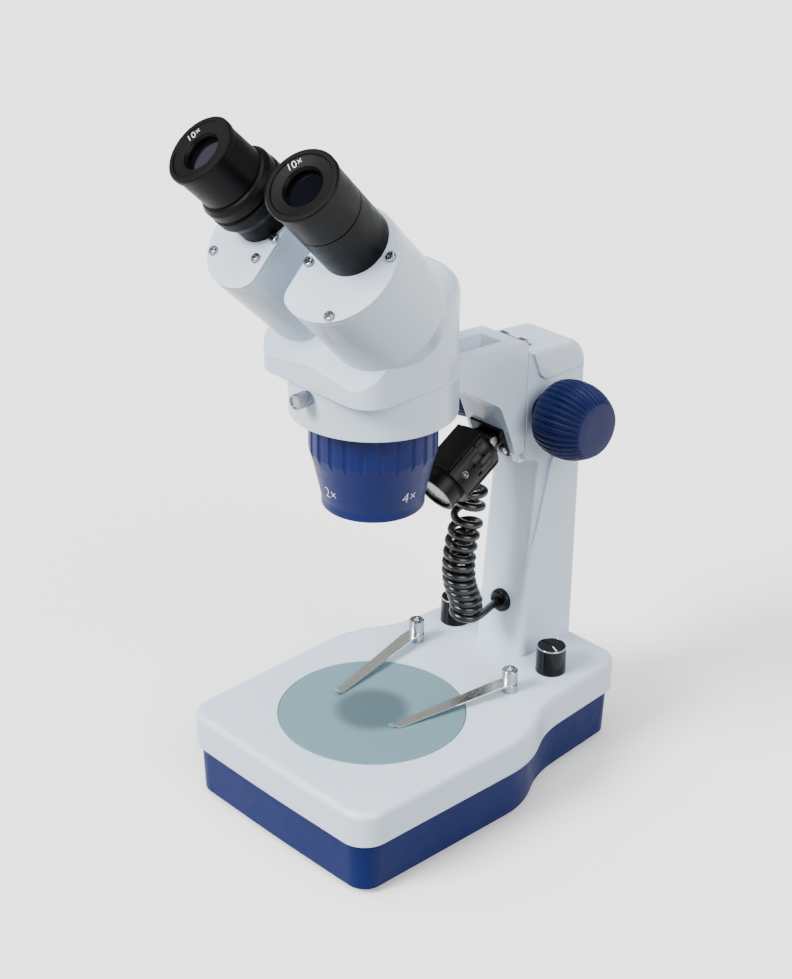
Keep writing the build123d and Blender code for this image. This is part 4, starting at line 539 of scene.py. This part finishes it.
class SCOPE_OT_stage(bpy.types.Operator):
    """Sets the floor, the soft lights and the camera"""
    bl_idname = "scope.stage"
    bl_label = "Stage, lights and camera"

    def execute(self, context):
        scene = context.scene
        camera = bpy.data.cameras.new("camera")
        camera.lens = CAMERA_LENS
        camera.sensor_width = CAMERA_SENSOR
        camera.clip_start, camera.clip_end = 0.01, 50.0
        held = placed("camera", camera)
        turn, dip, roll = radians(CAMERA_TURN), radians(CAMERA_DIP), radians(CAMERA_ROLL)
        back = Vector((sin(turn) * cos(dip), -cos(turn) * cos(dip), sin(dip)))
        right = Vector((0, 0, 1)).cross(back).normalized()
        up = back.cross(right)
        across, upright = cos(roll) * right + sin(roll) * up, cos(roll) * up - sin(roll) * right
        facing = Matrix((across, upright, back)).transposed().to_4x4()
        held.matrix_world = Matrix.Translation(at(*CAMERA_AT)) @ facing
        scene.camera = held

        floor = bpy.data.meshes.new("floor")
        corners = [(x * FLOOR_REACH, y * FLOOR_REACH, 0) for x, y in ((-1, -1), (1, -1), (1, 1), (-1, 1))]
        floor.from_pydata(corners, [], [(0, 1, 2, 3)])
        ground = placed("floor", floor)
        made, _, shader = blank("paper_sweep")
        shader.inputs["Base Color"].default_value = linear("#FBFBFC")
        shader.inputs["Roughness"].default_value = 0.9
        floor.materials.append(made)
        ground.visible_diffuse = False      # so that the floor throws no light back up at the object

        world = bpy.data.worlds.new("studio")
        scene.world = world
        world.use_nodes = True
        world.node_tree.nodes["Background"].inputs["Color"].default_value = linear("#F4F7FB")
        world.node_tree.nodes["Background"].inputs["Strength"].default_value = 0.45
        for name, azimuth, height, spread, power in SOFTBOXES:
            lamp = bpy.data.lights.new(name, "SUN")
            lamp.angle = radians(spread)
            lamp.energy = power
            a, e = radians(azimuth), radians(height)
            out = Vector((sin(a) * cos(e), -cos(a) * cos(e), sin(e)))
            placed(name, lamp).matrix_world = axis_frame(STAGE_MIDDLE + out, out)
        return {"FINISHED"}


def eased(points, share):
    """A point on the smooth line through points, share of the way along, counted in points."""
    i = min(max(int(share), 0), len(points) - 2)
    t = share - i
    last = len(points) - 1
    before, here, there, after = (Vector(points[min(max(k, 0), last)]) for k in (i - 1, i, i + 1, i + 2))
    return 0.5 * (2 * here + (there - before) * t + (2 * before - 5 * here + 4 * there - after) * t ** 2
                  + (3 * here - before - 3 * there + after) * t ** 3)


def bent(first, second, third, last, t):
    """The point at t, from 0 to 1, of the curve from first to last that those between draw out."""
    return first * (1 - t) ** 3 + second * 3 * t * (1 - t) ** 2 + third * 3 * t ** 2 * (1 - t) + last * t ** 3


def length_of(line):
    return sum((b - a).length for a, b in zip(line, line[1:]))


def tube_mesh(name, line, radius, sides):
    """A closed round tube along a line, its ends capped."""
    grid = bmesh.new()
    side = Vector((1, 0, 0))
    rings = []
    for i, point in enumerate(line):
        ahead = (line[min(i + 1, len(line) - 1)] - line[max(i - 1, 0)]).normalized()
        side = (side - ahead * side.dot(ahead)).normalized()
        other = ahead.cross(side)
        turns = [2 * pi * k / sides for k in range(sides)]
        rings.append([grid.verts.new(point + (side * cos(turn) + other * sin(turn)) * radius)
                      for turn in turns])
    for a, b in zip(rings, rings[1:]):
        for k in range(sides):
            grid.faces.new((a[k], a[(k + 1) % sides], b[(k + 1) % sides], b[k]))
    grid.faces.new(rings[0][::-1])
    grid.faces.new(rings[-1])
    bmesh.ops.recalc_face_normals(grid, faces=grid.faces)
    return smooth(meshed(name, grid), 60)


class SCOPE_OT_cord(bpy.types.Operator):
    """Winds the curly lamp cord from the lamp down to the pillar"""
    bl_idname = "scope.cord"
    bl_label = "Curly cord"

    def execute(self, context):
        facts = context.scene.scope_cord
        reach = (facts.coil - facts.wire) / 2 / MM

        def on_coil(turns):
            y, z = eased(COIL_TURNS, turns)
            angle = radians(TURN_START) + 2 * pi * turns
            return at(reach * cos(angle), y + reach * sin(angle), z)

        def wound(start, end):
            count = int((end - start) * TURN_STEPS)
            return [on_coil(start + i / TURN_STEPS) for i in range(count)] + [on_coil(end)]

        # from the gland the cord drops and swings out into the first turn
        out, down = on_coil(LEAD_IN), at(0, *GLAND)
        swing = (on_coil(LEAD_IN + 0.01) - out).normalized()
        lean, pull = down + Vector((-4, -4, -2)) * MM, out - swing * 4.5 * MM
        top = [bent(down, lean, pull, out, i / LEAD_STEPS) for i in range(LEAD_STEPS)]
        upper = top + wound(LEAD_IN, JOIN)
        lower = wound(JOIN, COIL_END)
        leave, land = lower[-1], at(0, *GROMMET)
        swing = (lower[-1] - lower[-2]).normalized()
        pull, lean = leave + swing * 8 * MM, land - Vector((0, 10 * MM, 0))
        for i in range(1, TAIL_STEPS + 1):
            lower.append(bent(leave, pull, lean, land, i / TAIL_STEPS))
        lower.append(at(0, GROMMET[0] + 2, GROMMET[1]))
        lengths = (("cord_upper", upper, "carriage", "lamp", (93.4, 104.5), ("cord_lead_lamp",)),
                   ("cord_lower", lower, "base", "carriage", (33.0, 93.4), ("cord_coil", "cord_lead_pillar")))
        for name, line, fixed, moving, (start, end), nodes in lengths:
            mesh = tube_mesh(name, line, facts.wire / 2, facts.sides)
            mesh.materials.append(finish_of("sheath"))
            made = placed(name, mesh)
            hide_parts(*nodes)
            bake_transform(made)
            print(name, "length", round(length_of(line) / MM, 1), "mm")
        return {"FINISHED"}


class SCOPE_OT_knobs(bpy.types.Operator):
    """Ribs the focus knobs, knurls the clamp screw and trims the dimmer knobs"""
    bl_idname = "scope.knobs"
    bl_label = "Knobs"

    def execute(self, context):
        grips = context.scene.scope_grips
        depth = grips.rib_depth / MM

        def knob_rib(angle, radius, height):
            # a rib is round on top and its groove narrow, and both run out near the hub and the flat face
            wave = (0.5 + 0.5 * cos(angle * grips.knob_ribs)) ** 2.2
            run = min(1.0, max(0.0, (height - RIBS_START) / 1.6), max(0.0, (RIBS_END - height) / 1.2))
            return radius - depth * wave * run if radius > 12 else radius

        side_profile = [(17.0, 24.2), (17.9, 25.2), (18.7, 27.0), (19.4, 29.5), (19.85, 32.5), (20.0, 35.2),
                        (19.85, 38.0), (19.4, 41.0), (18.5, 44.0), (17.2, 47.0), (15.6, 49.8), (14.5, 51.3),
                        (13.9, 51.9), (13.3, 52.0), (6.0, 51.95), (0.01, 51.95), (0.01, 17.0), (9.0, 17.0),
                        (9.0, 24.0), (16.4, 24.0)]
        for name, side in SIDES.items():
            seat = axis_frame(at(0, SHAFT_Y, FOCUS_Z), Vector((side, 0, 0)), Vector((0, 0, 1)))
            mesh = spun(f"knob_{name}", side_profile, seat, grips.knob_ribs * 10, knob_rib)
            piece(f"focus_knob_{name}_ribbed", smooth(mesh, 40), "focus_pinion", "knob_blue",
                  f"focus_knob_{name}")

            # a bright turned ring on the dimmer's top edge, and its printed pointer
            seat = axis_frame(at(side * DIMMER_X, DIMMER_Y, 0), Vector((0, 0, 1)))
            edge = rounded([(7.1, 14.2), (7.75, 14.2), (7.5, 14.95), (7.15, 14.95)], 0.2)
            rim = spun(f"rim_{name}", edge, seat, 72)
            piece(f"dimmer_rim_{name}", smooth(rim, 40), f"dimmer_{name}", "chrome")
            turned = seat @ Matrix.Rotation(radians(-24), 4, "Z")
            line = block(f"line_{name}", turned, (1.6, -0.3, 14.78), (6.6, 0.3, 14.9))
            piece(f"dimmer_pointer_{name}", line, f"dimmer_{name}", "ink")

        def knurl(angle, radius, height):
            return radius - 0.38 * (0.5 + 0.5 * cos(angle * grips.knurls)) ** 1.5 if radius > 3.3 else radius

        seat = axis_frame(at(0, -RING_RADIUS, CLAMP_Z), Vector((0, -1, 0)))
        profile = [(0.01, -2.0), (2.0, -2.0), (2.0, 0.35), (3.2, 0.35), (3.4, 0.6), (3.4, 1.2), (3.7, 1.5),
                   (3.7, 8.5), (3.35, 9.1), (2.75, 9.15), (2.5, 8.6), (2.5, 8.3), (0.01, 8.2)]
        mesh = spun("clamp", profile, seat, grips.knurls * 8, knurl)
        piece("clamp_screw_knurled", smooth(mesh, 35), "thumb", "dark_chrome", "thumb_screw")
        return {"FINISHED"}


class SCOPE_OT_figures(bpy.types.Operator):
    """Prints the plain power figures on the turret and round the eyepieces"""
    bl_idname = "scope.figures"
    bl_label = "Printed figures"

    def execute(self, context):
        for text, azimuth in (("2\u00d7", -92), ("4\u00d7", -3)):
            def on_cone(across, up, out, turn=radians(azimuth)):
                height = FIGURE_Z + up
                radius = CONE_RADIUS + (height - CONE_FOOT) * CONE_SPREAD + 0.03 + out
                angle = turn + across / radius
                return Vector((radius * cos(angle), AXIS_Y + radius * sin(angle), BASE_TOP + height))

            mesh = figures(f"power_{text[0]}", text, 5.6, on_cone)
            piece(f"turret_figure_{text[0]}", mesh, "turret", "ink")
        for name, side in SIDES.items():
            seat = tube_seat(side)
            turn = radians(143 if side > 0 else 150)

            def on_ring(across, up, out, seat=seat, turn=turn):
                # the face slopes down from its rim to the aperture
                upright, along = Vector((cos(turn), sin(turn), 0)), Vector((sin(turn), -cos(turn), 0))
                spot = upright * (FIGURE_RING + up) + along * across
                slope = RIM_FOOT + (spot.length - RIM_RADIUS) * RIM_SLOPE
                return (seat @ ((spot + Vector((0, 0, slope + 0.06 + out))) * MM)) / MM

            mesh = figures(f"eye_{name}", "10\u00d7", 3.4, on_ring)
            piece(f"eyepiece_figure_{name}", mesh, f"eyepiece_{name}", "ink")
        return {"FINISHED"}


class SCOPE_OT_lamp(bpy.types.Operator):
    """Adds the lamp's moulded ridges, windows and screw, and the seal in the pillar"""
    bl_idname = "scope.lamp"
    bl_label = "Lamp details"

    def execute(self, context):
        tilt = radians(LAMP_TILT)
        seat = axis_frame(at(0, LAMP_REAR[0], LAMP_REAR[1]), Vector((0, -cos(tilt), -sin(tilt))))
        ridges, panes = [], []
        for angle in (57, 46, -20):
            turned = seat @ Matrix.Rotation(radians(angle), 4, "Z")
            ridges.append(block("ridge", turned, (13.6, -0.35, 3.0), (14.45, 0.35, 26.5)))
        for angle, low, high in ((36, 4.0, 8.5), (31, 10.0, 15.0), (14, 5.0, 12.0), (2, 6.0, 14.0)):
            turned = seat @ Matrix.Rotation(radians(angle), 4, "Z")
            ridges.append(block("frame", turned, (13.4, -1.9, low), (14.25, -1.45, high)))
            ridges.append(block("frame", turned, (13.4, 1.45, low), (14.25, 1.9, high)))
            panes.append(block("pane", turned, (13.5, -1.45, low), (14.06, 1.45, high)))
        piece("lamp_ridges", joined("lamp_ridges", ridges), "lamp", "black")
        piece("lamp_windows", joined("lamp_windows", panes), "lamp", "rubber")
        turned = seat @ Matrix.Rotation(radians(26), 4, "Z")
        spot = turned @ (Vector((13.7, 0, 22.5)) * MM)
        across = axis_frame(spot, turned.to_3x3() @ Vector((1, 0, 0)), Vector((0, 0, 1)))
        dome = [(0.01, 0.5), (0.8, 0.5), (0.9, 0.15), (1.3, 0.15), (1.7, 0.45), (1.7, 0), (0.01, 0)]
        screw = spun("lamp_screw", dome, across, 32)
        piece("lamp_screw", smooth(screw, 35), "lamp", "dark_chrome")

        lean = Vector((0, -1, 0.08)).normalized()
        seat = axis_frame(at(0, GROMMET[0] - 0.3, GROMMET[1]), lean)
        seal = [(2.15, -1.0), (6.4, -1.0), (6.4, 0.6), (6.2, 1.6), (5.6, 2.4), (4.6, 2.9), (3.4, 3.1),
                (2.6, 2.9), (2.15, 2.2)]
        piece("cord_seal", smooth(spun("cord_seal", seal, seat, 64), 50), "base", "gloss_black")
        return {"FINISHED"}


class SCOPE_OT_finishes(bpy.types.Operator):
    """Gives every CAD part its finish"""
    bl_idname = "scope.finishes"
    bl_label = "Finishes"

    def execute(self, context):
        # a node that a piece replaces isn't shown, so it has no finish here
        dress("enamel", "base_cover", "pillar", "arm", "head_casting", "prism_housing_left",
              "prism_housing_right", "cap_plate_left", "cap_plate_right")
        dress("blue", "lower_housing")
        dress("turret_blue", "turret_shell")
        dress("steel", "bottom_plate", "base_screws", "pillar_bolts", "lamp_bracket_screws", "transformer",
              "pinion_shaft", "focus_slide", "slide_gibs", "lamp_pin")
        dress("rubber", "rubber_feet")
        dress("stage_glass", "stage_plate")
        dress("reflector", "substage_reflector")
        dress("clear", "substage_bulb", "lamp_bulb", "lamp_lens")
        dress("black", "potentiometers", "power_inlet", "lamp_bracket", "shaft_bushes", "pillar_grommet",
              "lamp_housing", "lamp_cover")
        dress("gloss_black", "dimmer_knob_left", "dimmer_knob_right")
        dress("chrome", "clip_posts", "clip_cap_left", "clip_cap_right")
        dress("dark_chrome", "cap_screws_left", "cap_screws_right")
        dress("leaf", "clip_blade_left", "clip_blade_right")
        dress("brass", "focus_rack")
        dress("anodised", "turret_core", "objectives", "eyepiece_tube_left", "eyepiece_tube_right",
              "eyepiece_left", "eyepiece_right", "diopter_sleeve", "diopter_ring")
        dress("lens", "eyepiece_lenses_left", "eyepiece_lenses_right", "prisms_left", "prisms_right")
        bare = [name for name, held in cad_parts.items()
                if not held.data.materials and not held.hide_render]
        if bare:
            raise RuntimeError(f"no finish on {bare}")
        return {"FINISHED"}


class SCOPE_PT_panel(bpy.types.Panel):
    """Lists the makers in the order that they run"""
    bl_idname = "SCOPE_PT_panel"
    bl_label = "Stereo microscope"
    bl_space_type = "VIEW_3D"
    bl_region_type = "UI"
    bl_category = "Microscope"

    def draw(self, context):
        column = self.layout.column()
        for group in (context.scene.scope_colours, context.scene.scope_cord, context.scene.scope_grips):
            for name in group.__annotations__:
                column.prop(group, name)
        for maker in MAKERS:
            column.operator(maker.bl_idname)


MAKERS = (SCOPE_OT_stage, SCOPE_OT_cord, SCOPE_OT_knobs, SCOPE_OT_figures, SCOPE_OT_lamp, SCOPE_OT_finishes)
GROUPS = (("scope_colours", ScopeColours), ("scope_cord", ScopeCord), ("scope_grips", ScopeGrips))


def register():
    for name, group in GROUPS:
        bpy.utils.register_class(group)
        setattr(bpy.types.Scene, name, PointerProperty(type=group))
    for maker in MAKERS:
        bpy.utils.register_class(maker)
    bpy.utils.register_class(SCOPE_PT_panel)


def unregister():
    bpy.utils.unregister_class(SCOPE_PT_panel)
    for maker in reversed(MAKERS):
        bpy.utils.unregister_class(maker)
    for name, group in reversed(GROUPS):
        delattr(bpy.types.Scene, name)
        bpy.utils.unregister_class(group)


def main():
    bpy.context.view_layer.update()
    register()
    for maker in MAKERS:
        family, name = maker.bl_idname.split(".")
        getattr(getattr(bpy.ops, family), name)()


if __name__ == "__main__":
    main()
